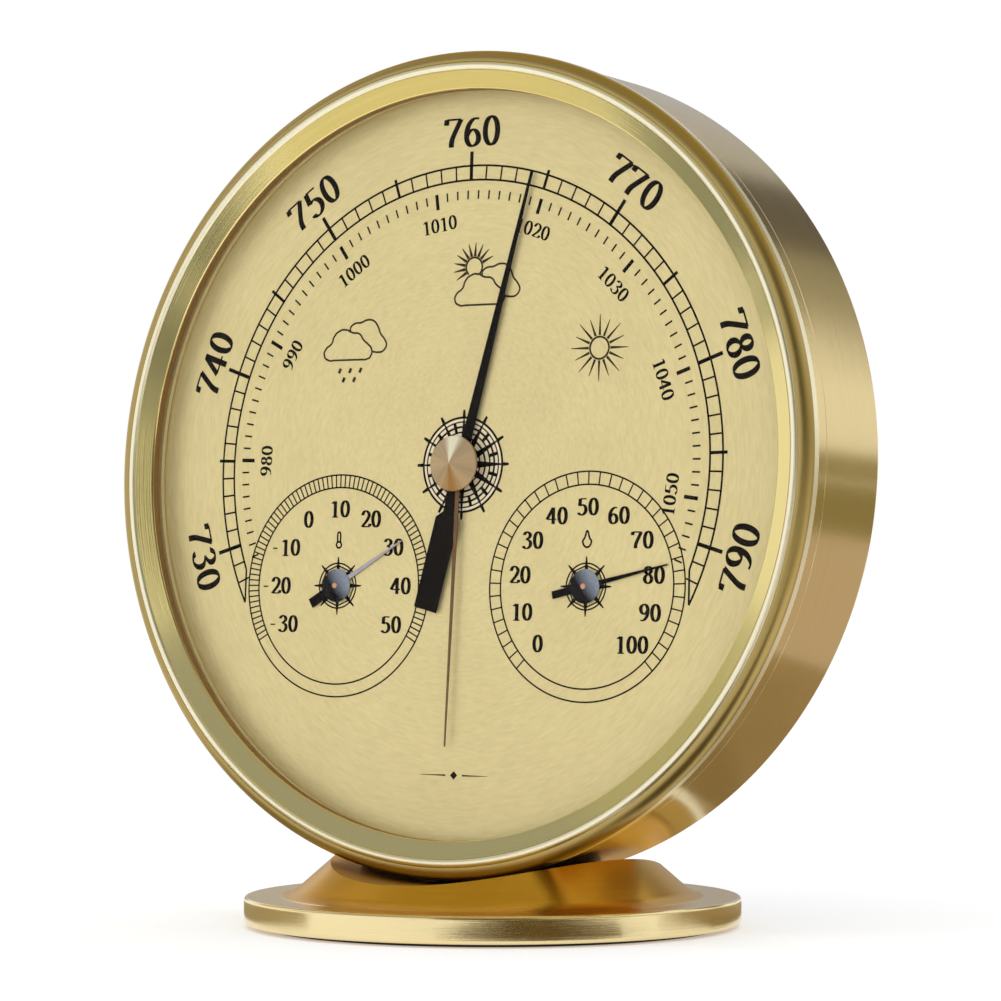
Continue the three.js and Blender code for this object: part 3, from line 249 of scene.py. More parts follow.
def finish(name, effect, tones, roughness, metallic, relief, centre=case_origin, turn=case_turn, gloss=0.5,
           **given):
    """A material whose colour, roughness and fine relief follow one effect, in a piece's own millimetres."""
    dark, light = tones
    material = bpy.data.materials.new(name)
    material.use_nodes = True
    tree = material.node_tree
    where = tree.nodes.new("ShaderNodeTexCoord").outputs["Object"]
    place = tree.nodes.new("ShaderNodeMapping")
    place.vector_type = "TEXTURE"
    connected(tree, place, {"Vector": where, "Location": centre, "Rotation": turn, "Scale": (MM, MM, MM)})
    marks = tree.nodes.new("ShaderNodeGroup")
    marks.node_tree = effect
    mask = connected(tree, marks, {"Place": place.outputs[0], **given}).outputs["Marks"]
    colour = tree.nodes.new("ShaderNodeMix")
    colour.data_type = "RGBA"
    connected(tree, colour, {"Factor": mask, "A": (*dark, 1), "B": (*light, 1)})
    shine = tree.nodes.new("ShaderNodeMapRange")
    connected(tree, shine, {"Value": mask, "To Min": roughness[0], "To Max": roughness[1]})
    bump = tree.nodes.new("ShaderNodeBump")
    connected(tree, bump, {"Height": mask, "Strength": 1.0, "Distance": relief * MM})
    connected(tree, tree.nodes["Principled BSDF"], {
        "Metallic": metallic,
        "Specular IOR Level": gloss,
        "Base Color": colour.outputs["Result"],
        "Roughness": shine.outputs[0],
        "Normal": bump.outputs[0],
    })
    return material


marks_of_turning = turning_marks()
on_stand = {"centre": (0, 0, 0), "turn": upright_turn}
amber_brass = finish("amber brass", marks_of_turning, AMBER_TONES,
                     roughness=(0.15, 0.23), metallic=1.0, relief=0.006, **on_stand)
neck_painted_shade = finish("satin neck painted shade", marks_of_turning, NECK_PAINTED_SHADE_TONES,
                    roughness=(0.27, 0.36), metallic=1.0, relief=0.010, **on_stand)
rim_painted_highlight = finish("bright cut rim painted highlight", marks_of_turning, RIM_PAINTED_HIGHLIGHT_TONES,
                   roughness=(0.13, 0.20), metallic=1.0, relief=0.010, **on_stand)

base_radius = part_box("base")[1].x / MM
neck_blank_radius = NECK_FOOT_RADIUS - (NECK_BLANK_TOP - BASE_TOP) / math.tan(NECK_SLOPE)
base_section = [
    (0, PAD_RECESS_TOP),
    (PAD_RECESS_RADIUS, PAD_RECESS_TOP),
    (PAD_RECESS_RADIUS, BASE_LIFT),
    (base_radius, BASE_LIFT),
    (base_radius, BASE_TOP),
    (NECK_FOOT_RADIUS, BASE_TOP),
    (neck_blank_radius, NECK_BLANK_TOP),
    (0, NECK_BLANK_TOP),
]
base_rounds = [
    (3, BASE_EDGE_ROUND, 6),
    (4, BASE_EDGE_ROUND, 6),
    (5, NECK_FILLET * math.tan(NECK_SLOPE / 2), 12),
]
base = shaped("turned_base", turned(base_section, base_rounds), STAND)
saddle = rod(SADDLE_RADIUS, -base_radius, base_radius * 2, steps=FINE_TURN_STEPS)
base_tools = [shaped("saddle_cutter", saddle, CASE)]
for side in (-1, 1):
    hole = rod(BASE_SCREW_HOLE, 0, NECK_BLANK_TOP, x=side * BASE_SCREW_SPREAD)
    head = rod(BASE_SCREW_HEAD_HOLE, 0, BASE_SCREW_HEAD_TOP, x=side * BASE_SCREW_SPREAD)
    base_tools += [shaped("screw_drill", hole, STAND), shaped("head_drill", head, STAND)]
fitted(cut(base, *base_tools), amber_brass, "case_and_stand", "amber_brass", "base")
# The neck's faces take their painted shade and the rim's faces their paler painted highlight.
refinished(base, neck_painted_shade, STAND, lambda radius, height: height > BASE_TOP + HOLD)
refinished(base, rim_painted_highlight, STAND, lambda radius, height: radius > base_radius - BASE_EDGE_ROUND)

# Pads, screws and nut bar of the stand
# A die-cut black rubber disc is glued under the base and a thin rubber strip lies in the saddle. Two steel
# screws run up through the base into a steel nut bar inside the case.
PAD_RADIUS = 37.0
PAD_THICKNESS = 1.2
PAD_EDGE_ROUND = 0.25
GRAIN_DETAIL = 5.0
GRAIN_ROUGHNESS = 0.6
RUBBER_TONES = (0.010, 0.010, 0.011), (0.024, 0.023, 0.022)
STEEL_TONES = (0.40, 0.40, 0.41), (0.58, 0.58, 0.57)


def fine_grain():
    """Small even specks, as on moulded plastic, rubber, paint and rolled sheet."""
    group, given, result = effect_group("Fine grain", [("Fineness", 3.0)])
    noise = connected(group, group.nodes.new("ShaderNodeTexNoise"), {
        "Vector": given.outputs["Place"],
        "Scale": given.outputs["Fineness"],
        "Detail": GRAIN_DETAIL,
        "Roughness": GRAIN_ROUGHNESS,
    })
    group.links.new(noise.outputs[0], result.inputs["Marks"])
    return group


def dressed(material, *nodes):
    """Gives CAD nodes whose shape is right their finish."""
    for node in nodes:
        slots = frame["nodes"][node].data.materials
        slots.clear()
        slots.append(material)


grain = fine_grain()
rubber = finish("black rubber", grain, RUBBER_TONES,
                roughness=(0.7, 0.9), metallic=0.0, relief=0.05, Fineness=4.0)
steel = finish("bright steel", grain, STEEL_TONES,
               roughness=(0.28, 0.45), metallic=1.0, relief=0.004, Fineness=2.0)
pad = shaped("rubber_base_pad", ring(0, PAD_RADIUS, 0, PAD_THICKNESS, [(1, PAD_EDGE_ROUND, 3)]), STAND)
fitted(pad, rubber, "case_and_stand", "rubber", "base_pad")
dressed(rubber, "saddle_pad")
dressed(steel, "nut_bar", "base_screw_1", "base_screw_2")

# Case drum
# A drum spun from brass sheet, with a rolled rear edge and an inner ledge for the back cover. Its wall is
# brushed round the axis and lacquered.
CASE_RADIUS = 65.7
CASE_BORE = 64.5
CASE_FRONT = 6.25
CASE_DEPTH = 23.0
LEDGE_RADIUS = 58.5
LEDGE_FRONT = 19.25
LEDGE_BACK = 20.45
FRONT_EDGE_ROUND = 0.04
REAR_EDGE_ROUND = 0.6
COVER_SCREW_COUNT = 3
COVER_SCREW_CIRCLE = (CASE_BORE + LEDGE_RADIUS) / 2
COVER_SCREW_HOLE = 1.2
DRILL_OVERRUN = 1
BRASS_TONES = (0.70, 0.54, 0.25), (0.80, 0.65, 0.34)

satin_brass = finish("satin brass", marks_of_turning, BRASS_TONES,
                     roughness=(0.12, 0.20), metallic=1.0, relief=0.009)
drum_section = [
    (CASE_BORE, CASE_FRONT),
    (CASE_RADIUS, CASE_FRONT),
    (CASE_RADIUS, CASE_DEPTH),
    (CASE_BORE, CASE_DEPTH),
    (CASE_BORE, LEDGE_BACK),
    (LEDGE_RADIUS, LEDGE_BACK),
    (LEDGE_RADIUS, LEDGE_FRONT),
    (CASE_BORE, LEDGE_FRONT),
]
drum_rounds = [(1, FRONT_EDGE_ROUND, 2), (2, REAR_EDGE_ROUND, 5)]
drum = shaped("spun_case_drum", turned(drum_section, drum_rounds, FINE_TURN_STEPS), CASE)
cover_screw_places = []
for i in range(COVER_SCREW_COUNT):
    angle = math.tau * i / COVER_SCREW_COUNT
    cover_screw_places.append((COVER_SCREW_CIRCLE * math.sin(angle), COVER_SCREW_CIRCLE * math.cos(angle)))
drum_tools = []
for x, z in cover_screw_places:
    hole = rod(COVER_SCREW_HOLE, LEDGE_FRONT - DRILL_OVERRUN, LEDGE_BACK + DRILL_OVERRUN, x, z)
    drum_tools.append(shaped("ledge_drill", hole, CASE))
for side in (-1, 1):
    hole = rod(BASE_SCREW_HOLE, BASE_TOP, NECK_BLANK_TOP, x=side * BASE_SCREW_SPREAD)
    drum_tools.append(shaped("wall_drill", hole, STAND))
fitted(cut(drum, *drum_tools), satin_brass, "case_and_stand", "satin_brass", "case_drum")

# Pressure movement and coil units
# Stamped brass plate, pillars, sector and levers, a nickelled steel capsule, a bronze hairspring, and behind
# the small dials a bimetal coil and a moisture coil in moulded cups. They keep their CAD shapes.
MOVEMENT_BRASS_TONES = (0.58, 0.42, 0.18), (0.74, 0.56, 0.27)
COPPER_TONES = (0.60, 0.28, 0.14), (0.75, 0.40, 0.22)
FOIL_TONES = (0.50, 0.42, 0.26), (0.64, 0.55, 0.36)
CUP_TONES = (0.018, 0.018, 0.019), (0.040, 0.039, 0.038)
PILLAR_COUNT = 5

plain_brass = finish("plain brass", grain, MOVEMENT_BRASS_TONES,
                     roughness=(0.25, 0.4), metallic=1.0, relief=0.004, Fineness=1.2)
copper = finish("coil copper", grain, COPPER_TONES,
                roughness=(0.3, 0.45), metallic=1.0, relief=0.004, Fineness=2.0)
foil = finish("moisture foil", grain, FOIL_TONES,
              roughness=(0.45, 0.6), metallic=0.4, relief=0.01, Fineness=2.0)
cup_plastic = finish("cup plastic", grain, CUP_TONES,
                     roughness=(0.45, 0.6), metallic=0.0, relief=0.02, Fineness=4.0)
dressed(plain_brass, "movement_plate", "sector_gear", "rocker_bracket_1", "rocker_bracket_2", "arbor_bridge",
        "hand_bush", "hairspring_collet", "hairspring_stud")
dressed(plain_brass, *[f"movement_pillar_{i + 1}" for i in range(PILLAR_COUNT)])
dressed(steel, *[f"movement_screw_{i + 1}" for i in range(PILLAR_COUNT)])
dressed(steel, "capsule_back", "capsule_front", "calibration_screw", "rocker", "sector_post", "pointer_arbor")
dressed(cup_plastic, "thermo_cup", "hygro_cup")
dressed(copper, "hairspring", "thermo_coil", "thermo_arbor", "hygro_arbor")
dressed(foil, "hygro_coil")

# Dial plate
# A sheet of aluminium, brushed in broken arcs and anodised champagne gold, on which everything is printed.
# It keeps its CAD shape.
DIAL_FRONT = 5.55
DIAL_TONES = (0.59, 0.475, 0.212), (0.91, 0.77, 0.40)
PATCH_SCALE = 0.09
ARC_SHARE = 0.72
PATCH_SHARE = 0.28


def worn_brushing():
    """Broken arcs round the middle over slow patches, as on sheet that was brushed while it turned."""
    group, given, result = effect_group("Worn brushing", [("Fineness", 2.6), ("Run", 26.0)])
    arcs = group.nodes.new("ShaderNodeGroup")
    arcs.node_tree = marks_of_turning
    for label in ("Place", "Fineness", "Run"):
        group.links.new(given.outputs[label], arcs.inputs[label])
    patches = connected(group, group.nodes.new("ShaderNodeTexNoise"), {
        "Vector": given.outputs["Place"],
        "Scale": PATCH_SCALE,
        "Detail": MARKS_DETAIL,
    })
    both = maths(group, "ADD", maths(group, "MULTIPLY", arcs.outputs[0], ARC_SHARE),
                 maths(group, "MULTIPLY", patches.outputs[0], PATCH_SHARE))
    group.links.new(both, result.inputs["Marks"])
    return group


dial_gold = finish("dial gold", worn_brushing(), DIAL_TONES,
                   roughness=(0.42, 0.56), metallic=0.35, relief=0.006)
dressed(dial_gold, "dial_plate")

# Pressure scales
# Dark brown-black ink, screen printed. A ladder in millimetres of mercury runs round the outside, with large
# numerals, and a ring of short marks in hectopascals runs inside it, with small ones.
PRINT_FRONT = DIAL_FRONT - 0.03
PRINT_BACK = DIAL_FRONT + 0.01
PRINT_MIDDLE = (PRINT_FRONT + PRINT_BACK) / 2
PRINT_THICKNESS = PRINT_BACK - PRINT_FRONT
CIRCLE_STEPS = 180
INK_TONES = (0.005, 0.0035, 0.002), (0.012, 0.008, 0.005)
LADDER_INNER = 45.8
LADDER_OUTER = 48.1
LADDER_LINE = 0.32
LADDER_RUNG = 0.28
LADDER_END = 117.5
LADDER_SLANT = 6.0
MERCURY_MIDDLE = 760
MERCURY_STEP = 3.54
MERCURY_REACH = 32
MERCURY_FIVES = 6
MERCURY_VALUES = range(730, 791, 10)
TEN_MARK = (45.8, 50.4, 0.62)
FIVE_MARK = (45.8, 48.9, 0.50)
MERCURY_NUMERAL = 4.9
MERCURY_NUMERAL_RADIUS = 53.6
HECTO_MIDDLE = 1013.25
HECTO_STEP = 2.655
HECTO_FIRST = 972
HECTO_LAST = 1055
HECTO_MARK = (42.7, 44.1, 0.28)
HECTO_TEN_MARK = (41.7, 44.2, 0.60)
HECTO_NUMERAL = 2.3
HECTO_NUMERAL_RADIUS = 39.2
FLIP_ANGLE = 95
DIGIT_ADVANCE = 0.58
DIGIT_WIDENING = 1.28
NUMERAL_MIDDLE = 0.5
BOLD_STEM, BOLD_HAIRLINE = 0.16, 0.066
HECTO_HAIRLINE = 0.06
PEN_STEPS = 6
LOOP_BEND, STROKE_BEND = 0.276, 0.19


def loop(x, z, half_width, half_height):
    """Four points of a closed round stroke, with the first one again at its end."""
    top, bottom = (x, z + half_height), (x, z - half_height)
    return [top, (x + half_width, z), bottom, (x - half_width, z), top]


# Each numeral as the strokes of a broad pen: two points are a straight stroke, more a smooth one.
NUMERALS = {
    "0": [loop(0, 0.5, 0.19, 0.475)],
    "1": [[(0.02, 0.03), (0.02, 0.96)], [(-0.15, 0.82), (0.02, 0.96)], [(-0.14, 0.02), (0.18, 0.02)]],
    "2": [
        [(-0.19, 0.72), (-0.11, 0.93), (0.04, 0.97), (0.18, 0.77), (0.10, 0.48), (-0.06, 0.24),
         (-0.20, 0.05)],
        [(-0.20, 0.05), (0.21, 0.05)],
        [(0.21, 0.05), (0.24, 0.22)],
    ],
    "3": [
        [(-0.18, 0.80), (-0.05, 0.97), (0.12, 0.90), (0.14, 0.70), (-0.03, 0.545)],
        [(-0.03, 0.545), (0.15, 0.44), (0.17, 0.20), (0.03, 0.03), (-0.14, 0.06), (-0.20, 0.17)],
    ],
    "4": [[(0.08, 0.96), (-0.24, 0.29)], [(-0.24, 0.29), (0.26, 0.29)], [(0.09, 0.02), (0.09, 0.97)]],
    "5": [
        [(-0.12, 0.95), (0.20, 0.95)],
        [(-0.12, 0.95), (-0.15, 0.54)],
        [(-0.15, 0.54), (0.02, 0.61), (0.16, 0.46), (0.16, 0.20), (0.01, 0.03), (-0.14, 0.06), (-0.20, 0.16)],
    ],
    "6": [[(0.19, 0.92), (0.02, 0.92), (-0.14, 0.68), (-0.18, 0.32), (-0.10, 0.08), (0.03, 0.03),
           (0.17, 0.16), (0.17, 0.40), (0.05, 0.57), (-0.09, 0.52), (-0.17, 0.38)]],
    "7": [
        [(-0.22, 0.94), (0.22, 0.94)],
        [(-0.22, 0.95), (-0.24, 0.76)],
        [(0.21, 0.93), (0.06, 0.57), (-0.05, 0.27), (-0.07, 0.02)],
    ],
    "8": [loop(0, 0.755, 0.145, 0.215), loop(0, 0.275, 0.18, 0.25)],
    "-": [[(-0.14, 0.45), (0.12, 0.45)]],
}
# A 9 is a 6 that is turned over.
NUMERALS["9"] = [[(-x, 1 - z) for x, z in stroke] for stroke in NUMERALS["6"]]


def drawn(bm, strokes, stem, hairline, place):
    """Adds the strokes of a pen that is stem wide and hairline high, held level, to a bmesh."""
    curve = bpy.data.curves.new("pen", "CURVE")
    curve.dimensions = "3D"
    curve.twist_mode = "Z_UP"
    curve.bevel_depth = hairline / 2
    curve.bevel_resolution = 0
    curve.use_fill_caps = True
    curve.resolution_u = PEN_STEPS
    widening = stem / hairline
    for stroke in strokes:
        closed = stroke[0] == stroke[-1]
        bend = LOOP_BEND if closed else STROKE_BEND
        points = [Vector((x / widening, z, 0)) for x, z in (stroke[:-1] if closed else stroke)]
        spline = curve.splines.new("BEZIER")
        spline.use_cyclic_u = closed
        spline.bezier_points.add(len(points) - 1)
        for i, point in enumerate(spline.bezier_points):
            before = points[i - 1] if closed or i > 0 else points[i]
            after = points[(i + 1) % len(points)] if closed or i + 1 < len(points) else points[i]
            lean = (after - before) * bend
            point.handle_left_type = point.handle_right_type = "FREE"
            point.co = points[i]
            point.handle_left = points[i] - lean
            point.handle_right = points[i] + lean
    pen = bpy.data.objects.new("pen", curve)
    bpy.context.scene.collection.objects.link(pen)
    mesh = bpy.data.meshes.new_from_object(pen.evaluated_get(bpy.context.evaluated_depsgraph_get()))
    flat = Matrix.Diagonal((widening, 1, PRINT_THICKNESS / hairline, 1))
    stand_up = Matrix.Rotation(math.radians(90), 4, "X")
    mesh.transform(place @ stand_up @ flat)
    bm.from_mesh(mesh)
    bpy.data.objects.remove(pen)
    bpy.data.meshes.remove(mesh)


def at_clock(angle, radius, x=0, z=0):
    """A place on the dial at an angle in degrees clockwise from the top, turned to face outwards there."""
    turn = Matrix.Rotation(math.radians(angle), 4, "Y")
    return Matrix.Translation((x, PRINT_MIDDLE, z)) @ turn @ Matrix.Translation((0, 0, radius))


def number(bm, text, height, place, stem, hairline):
    """A printed number with its middle at a place.

    Stem and hairline are in numeral heights, before the numeral is widened.
    """
    strokes = []
    for i, digit in enumerate(text):
        shift = (i - (len(text) - 1) / 2) * DIGIT_ADVANCE
        strokes += [[(x + shift, z - NUMERAL_MIDDLE) for x, z in stroke] for stroke in NUMERALS[digit]]
    size = Matrix.Diagonal((height * DIGIT_WIDENING, 1, height, 1))
    drawn(bm, strokes, stem, hairline, place @ size)


def number_round(bm, text, height, angle, radius, stem, hairline):
    """A numeral along the ring, turned over where it would read upside down."""
    place = at_clock(angle, radius)
    if abs(angle) > FLIP_ANGLE:
        place = place @ Matrix.Rotation(math.pi, 4, "Y")
    number(bm, text, height, place, stem, hairline)


def mark(bm, angle, inner, outer, width, x=0, z=0):
    """A straight printed mark, at an angle in degrees clockwise from the top."""
    size = Matrix.Diagonal((width, PRINT_THICKNESS, outer - inner, 1))
    bmesh.ops.create_cube(bm, size=1, matrix=at_clock(angle, (inner + outer) / 2, x, z) @ size)


def arc_line(bm, radius, width, start=-180, sweep=360, x=0, z=0, steps_per_turn=CIRCLE_STEPS):
    """A printed line along a circle, from a small upright section that is spun about the centre."""
    front = Matrix.Translation((x, 0, z)) @ Matrix.Rotation(math.radians(start), 4, "Y")
    half = width / 2
    section = [(-half, PRINT_FRONT), (half, PRINT_FRONT), (half, PRINT_BACK), (-half, PRINT_BACK)]
    corners = [bm.verts.new(front @ Vector((0, y, radius + r))) for r, y in section]
    edges = [bm.edges.new(pair) for pair in zip(corners, corners[1:] + corners[:1])]
    whole = sweep >= 360
    bmesh.ops.spin(bm, geom=corners + edges, cent=(x, 0, z), axis=(0, 1, 0), angle=math.radians(sweep),
                   steps=max(2, round(steps_per_turn * sweep / 360)), use_merge=whole)
    if not whole:
        bmesh.ops.holes_fill(bm, edges=[edge for edge in bm.edges if edge.is_boundary], sides=4)


def ink_of(name, tones):
    return finish(name, grain, tones,
                  roughness=(0.5, 0.65), metallic=0.0, relief=0.002, gloss=0.04, Fineness=3.0)


ink = ink_of("scale ink", INK_TONES)


def printed(name, bm, with_ink=ink):
    fitted(shaped(name, bm, CASE), with_ink, "case_and_stand", "black_paint")


ladder = bmesh.new()
for radius, end in ((LADDER_INNER, LADDER_END - LADDER_SLANT), (LADDER_OUTER, LADDER_END)):
    arc_line(ladder, radius, LADDER_LINE, -end, end * 2)
for step in range(-MERCURY_REACH, MERCURY_REACH + 1):
    mark(ladder, step * MERCURY_STEP, LADDER_INNER, LADDER_OUTER, LADDER_RUNG)
for side in (-1, 1):
    foot = at_clock(side * (LADDER_END - LADDER_SLANT), LADDER_INNER).to_translation()
    tip = at_clock(side * LADDER_END, LADDER_OUTER).to_translation()
    tilt = math.degrees(math.atan2(tip.x - foot.x, tip.z - foot.z))
    mark(ladder, tilt, 0, (tip - foot).length, LADDER_LINE, foot.x, foot.z)
for step in range(-MERCURY_FIVES, MERCURY_FIVES + 1):
    mark(ladder, step * MERCURY_STEP * 5, *(FIVE_MARK if step % 2 else TEN_MARK))
printed("printed_pressure_ladder", ladder)

mercury_numbers = bmesh.new()
for value in MERCURY_VALUES:
    angle = (value - MERCURY_MIDDLE) * MERCURY_STEP
    number_round(mercury_numbers, str(value), MERCURY_NUMERAL, angle, MERCURY_NUMERAL_RADIUS,
                 BOLD_STEM, BOLD_HAIRLINE)
printed("printed_pressure_numerals", mercury_numbers)

hecto_scale = bmesh.new()
for value in range(HECTO_FIRST, HECTO_LAST + 1):
    angle = (value - HECTO_MIDDLE) * HECTO_STEP
    mark(hecto_scale, angle, *(HECTO_MARK if value % 10 else HECTO_TEN_MARK))
    if value % 10 == 0:
        number_round(hecto_scale, str(value), HECTO_NUMERAL, angle, HECTO_NUMERAL_RADIUS,
                     BOLD_STEM, HECTO_HAIRLINE)
printed("printed_hectopascal_scale", hecto_scale)

# Weather pictures
# Thin outlines of plain weather signs, printed in a browner ink: a rain cloud for low pressure, a sun behind
# a cloud for changing weather and a sun for high pressure.
FINE_INK_TONES = (0.030, 0.021, 0.010), (0.055, 0.040, 0.020)
PICTURE_LINE = 0.32
RAIN_CENTRE = (-23.3, 19.9)
CHANGE_CENTRE = (2.3, 28.05)
SUN_CENTRE = (25.2, 18.0)
SUN_DISC = 1.75
SUN_STEPS = 48
SUN_RAYS = 16
SUN_RAY_START = 2.0
SUN_RAY_ENDS = (5.3, 4.8)
SUN_RAY_WIDTH = 0.45
HALF_SUN_SHIFT = (-1.2, 3.65)
HALF_SUN_DISC = 1.55
HALF_SUN_ARC = (-138, 276)
HALF_SUN_RAYS = 10
HALF_SUN_RAY_SPREAD = (-121, 207)
HALF_SUN_RAY = (1.75, 3.9, 0.55)
# The points of a cloud lie about evenly, so that the pen's curve through them stays smooth.
FRONT_CLOUD = [
    (-3.9, -2.4), (-4.75, -1.6), (-4.4, -0.5), (-3.35, 0.3), (-2.85, 1.45), (-1.85, 2.3), (-0.5, 2.5),
    (0.8, 2.0), (2.2, 1.75), (3.05, 0.75), (4.0, 0.0), (4.7, -0.8), (4.6, -1.85), (3.8, -2.4),
    (2.5, -2.45), (1.2, -2.45), (0, -2.45), (-1.3, -2.45), (-2.6, -2.45), (-3.9, -2.4),
]
REAR_CLOUD = [
    (0.4, 2.3), (0.4, 2.9), (1.3, 3.5), (2.5, 3.6), (3.7, 4.0), (5.0, 3.8), (5.9, 2.8), (6.4, 1.7),
    (7.2, 0.8), (7.65, -0.2), (7.0, -1.15), (6.0, -1.35), (4.9, -1.2),
]
RAIN_DROPS = [(-1.5, -4.2), (0.55, -4.2), (2.6, -4.2), (-0.7, -5.7), (1.4, -5.7)]
DROP_LENGTH, DROP_WIDTH = 0.85, 0.50
DROP_TILT = 25
SPIKE_SIDES = 4
SPIKE_TIP = 0.25


def outline(bm, points, x, z):
    drawn(bm, [points], PICTURE_LINE, PICTURE_LINE, Matrix.Translation((x, PRINT_MIDDLE, z)))


def spike(bm, angle, inner, outer, width, x=0, z=0):
    """A printed ray that tapers to a narrow tip."""
    size = Matrix.Diagonal((width / 2, PRINT_THICKNESS / 2, outer - inner, 1))
    place = at_clock(angle, (inner + outer) / 2, x, z)
    bmesh.ops.create_cone(bm, cap_ends=True, segments=SPIKE_SIDES, radius1=1, radius2=SPIKE_TIP, depth=1,
                          matrix=place @ size)


fine_ink = ink_of("fine ink", FINE_INK_TONES)

rain = bmesh.new()
for cloud in (FRONT_CLOUD, REAR_CLOUD):
    outline(rain, cloud, *RAIN_CENTRE)
for x, z in RAIN_DROPS:
    mark(rain, DROP_TILT, -DROP_LENGTH / 2, DROP_LENGTH / 2, DROP_WIDTH,
         RAIN_CENTRE[0] + x, RAIN_CENTRE[1] + z)
printed("printed_rain_cloud", rain, fine_ink)

change = bmesh.new()
for cloud in (FRONT_CLOUD, REAR_CLOUD):
    outline(change, cloud, *CHANGE_CENTRE)
half_sun = (CHANGE_CENTRE[0] + HALF_SUN_SHIFT[0], CHANGE_CENTRE[1] + HALF_SUN_SHIFT[1])
arc_line(change, HALF_SUN_DISC, PICTURE_LINE, *HALF_SUN_ARC, *half_sun)
first_ray, ray_sweep = HALF_SUN_RAY_SPREAD
for i in range(HALF_SUN_RAYS):
    spike(change, first_ray + ray_sweep * i / HALF_SUN_RAYS, *HALF_SUN_RAY, *half_sun)
printed("printed_sun_and_cloud", change, fine_ink)

sun = bmesh.new()
arc_line(sun, SUN_DISC, PICTURE_LINE, x=SUN_CENTRE[0], z=SUN_CENTRE[1], steps_per_turn=SUN_STEPS)
for i in range(SUN_RAYS):
    spike(sun, 360 * i / SUN_RAYS, SUN_RAY_START, SUN_RAY_ENDS[i % 2], SUN_RAY_WIDTH, *SUN_CENTRE)
printed("printed_sun", sun, fine_ink)

# Small dials
# Two printed rings with their own numerals: degrees on the left and relative humidity on the right. A small
# thermometer and a drop mark which is which.
SUB_X = 23.9
SUB_Z = -19.4
SUB_INNER = 16.0
SUB_OUTER = 18.05
SUB_LINE = 0.25
SUB_RUNG = 0.22
SUB_NUMERAL = 2.75
SUB_NUMERAL_RADIUS = 12.5
SUB_STEM, SUB_HAIRLINE = 0.185, 0.08
THERMO_VALUES = range(-30, 51, 10)
THERMO_STEP = 3.0
THERMO_MIDDLE = 10
HYGRO_VALUES = range(0, 101, 10)
HYGRO_STEP = 2.72
HYGRO_MIDDLE = 50
HYGRO_RUNGS = 40
SUB_SPIKES = 8
SUB_SPIKE = (2.2, 4.7, 0.80)
SUB_RINGS = ((3.3, 8), (3.65, 64))
SIGN_Z = 7.4
THERMOMETER_BULB = loop(0, -0.75, 0.5, 0.5)
THERMOMETER_TUBE = [(-0.28, -0.34), (-0.28, 1.0), (0, 1.3), (0.28, 1.0), (0.28, -0.34)]
DROP = [(0, 1.3), (0.42, 0.3), (0.78, -0.5), (0, -1.25), (-0.78, -0.5), (-0.42, 0.3), (0, 1.3)]


def small_dial(x, values, middle, step, rungs):
    """A ladder ring with its numerals, and rays and two rings, of (radius, steps), round the hub."""
    bm = bmesh.new()
    for radius in (SUB_INNER, SUB_OUTER):
        arc_line(bm, radius, SUB_LINE, x=x, z=SUB_Z)
    first, last = (values[0] - middle) * step, (values[-1] - middle) * step
    for i in range(rungs + 1):
        mark(bm, first + (last - first) * i / rungs, SUB_INNER, SUB_OUTER, SUB_RUNG, x, SUB_Z)
    for value in values:
        centre = at_clock((value - middle) * step, SUB_NUMERAL_RADIUS, x, SUB_Z).to_translation()
        number(bm, str(value), SUB_NUMERAL, Matrix.Translation(centre), SUB_STEM, SUB_HAIRLINE)
    for i in range(SUB_SPIKES):
        spike(bm, 360 * i / SUB_SPIKES, *SUB_SPIKE, x, SUB_Z)
    for radius, steps in SUB_RINGS:
        arc_line(bm, radius, SUB_LINE, x=x, z=SUB_Z, steps_per_turn=steps)
    return bm


thermo_span = THERMO_VALUES[-1] - THERMO_VALUES[0]
thermo_dial = small_dial(-SUB_X, THERMO_VALUES, THERMO_MIDDLE, THERMO_STEP, thermo_span)
for sign in (THERMOMETER_BULB, THERMOMETER_TUBE):
    outline(thermo_dial, sign, -SUB_X, SUB_Z + SIGN_Z)
printed("printed_thermometer_dial", thermo_dial)

hygro_dial = small_dial(SUB_X, HYGRO_VALUES, HYGRO_MIDDLE, HYGRO_STEP, HYGRO_RUNGS)
outline(hygro_dial, DROP, SUB_X, SUB_Z + SIGN_Z)
printed("printed_hygrometer_dial", hygro_dial)

# Hub ornament and dial foot ornament
# A printed rose of twelve tapered rays and six rings round the main arbor, on a pale ground, and a plain
# flourish of two short lines and a lozenge low on the dial.
HUB_SPIKES = 12
HUB_SPIKE = (2.4, 8.8, 1.6)
HUB_STEPS = 96
HUB_RINGS = ((7.55, 0.36), (6.85, 0.22), (6.05, 0.34), (5.2, 0.26), (4.3, 0.32), (3.3, 0.26))
HUB_GROUND = (5.0, 5.4)
GROUND_SET_BACK = 0.015
GROUND_TONES = (0.80, 0.66, 0.42), (0.95, 0.84, 0.62)
HUB_BLOCK = (5.2, 6.85, 0.55)
FOOT_Z = -49.5
FOOT_LINE = (1.6, 6.4, 0.26)
FOOT_LOZENGE = 0.95
LOZENGE_TURN = 45

hub = bmesh.new()
for radius, width in HUB_RINGS:
    arc_line(hub, radius, width, steps_per_turn=HUB_STEPS)
for i in range(HUB_SPIKES):
    angle = 360 * i / HUB_SPIKES
    spike(hub, angle, *HUB_SPIKE)
    mark(hub, angle + 180 / HUB_SPIKES, *HUB_BLOCK)
printed("printed_hub_rose", hub)

ground = bmesh.new()
arc_line(ground, *HUB_GROUND, steps_per_turn=HUB_STEPS)
bmesh.ops.translate(ground, verts=ground.verts, vec=(0, GROUND_SET_BACK, 0))
ground_ink = finish("pale ink", grain, GROUND_TONES,
                    roughness=(0.45, 0.6), metallic=0.0, relief=0.002, gloss=0.2, Fineness=2.0)
fitted(shaped("printed_hub_ground", ground, CASE), ground_ink, "case_and_stand", "dial_gold")

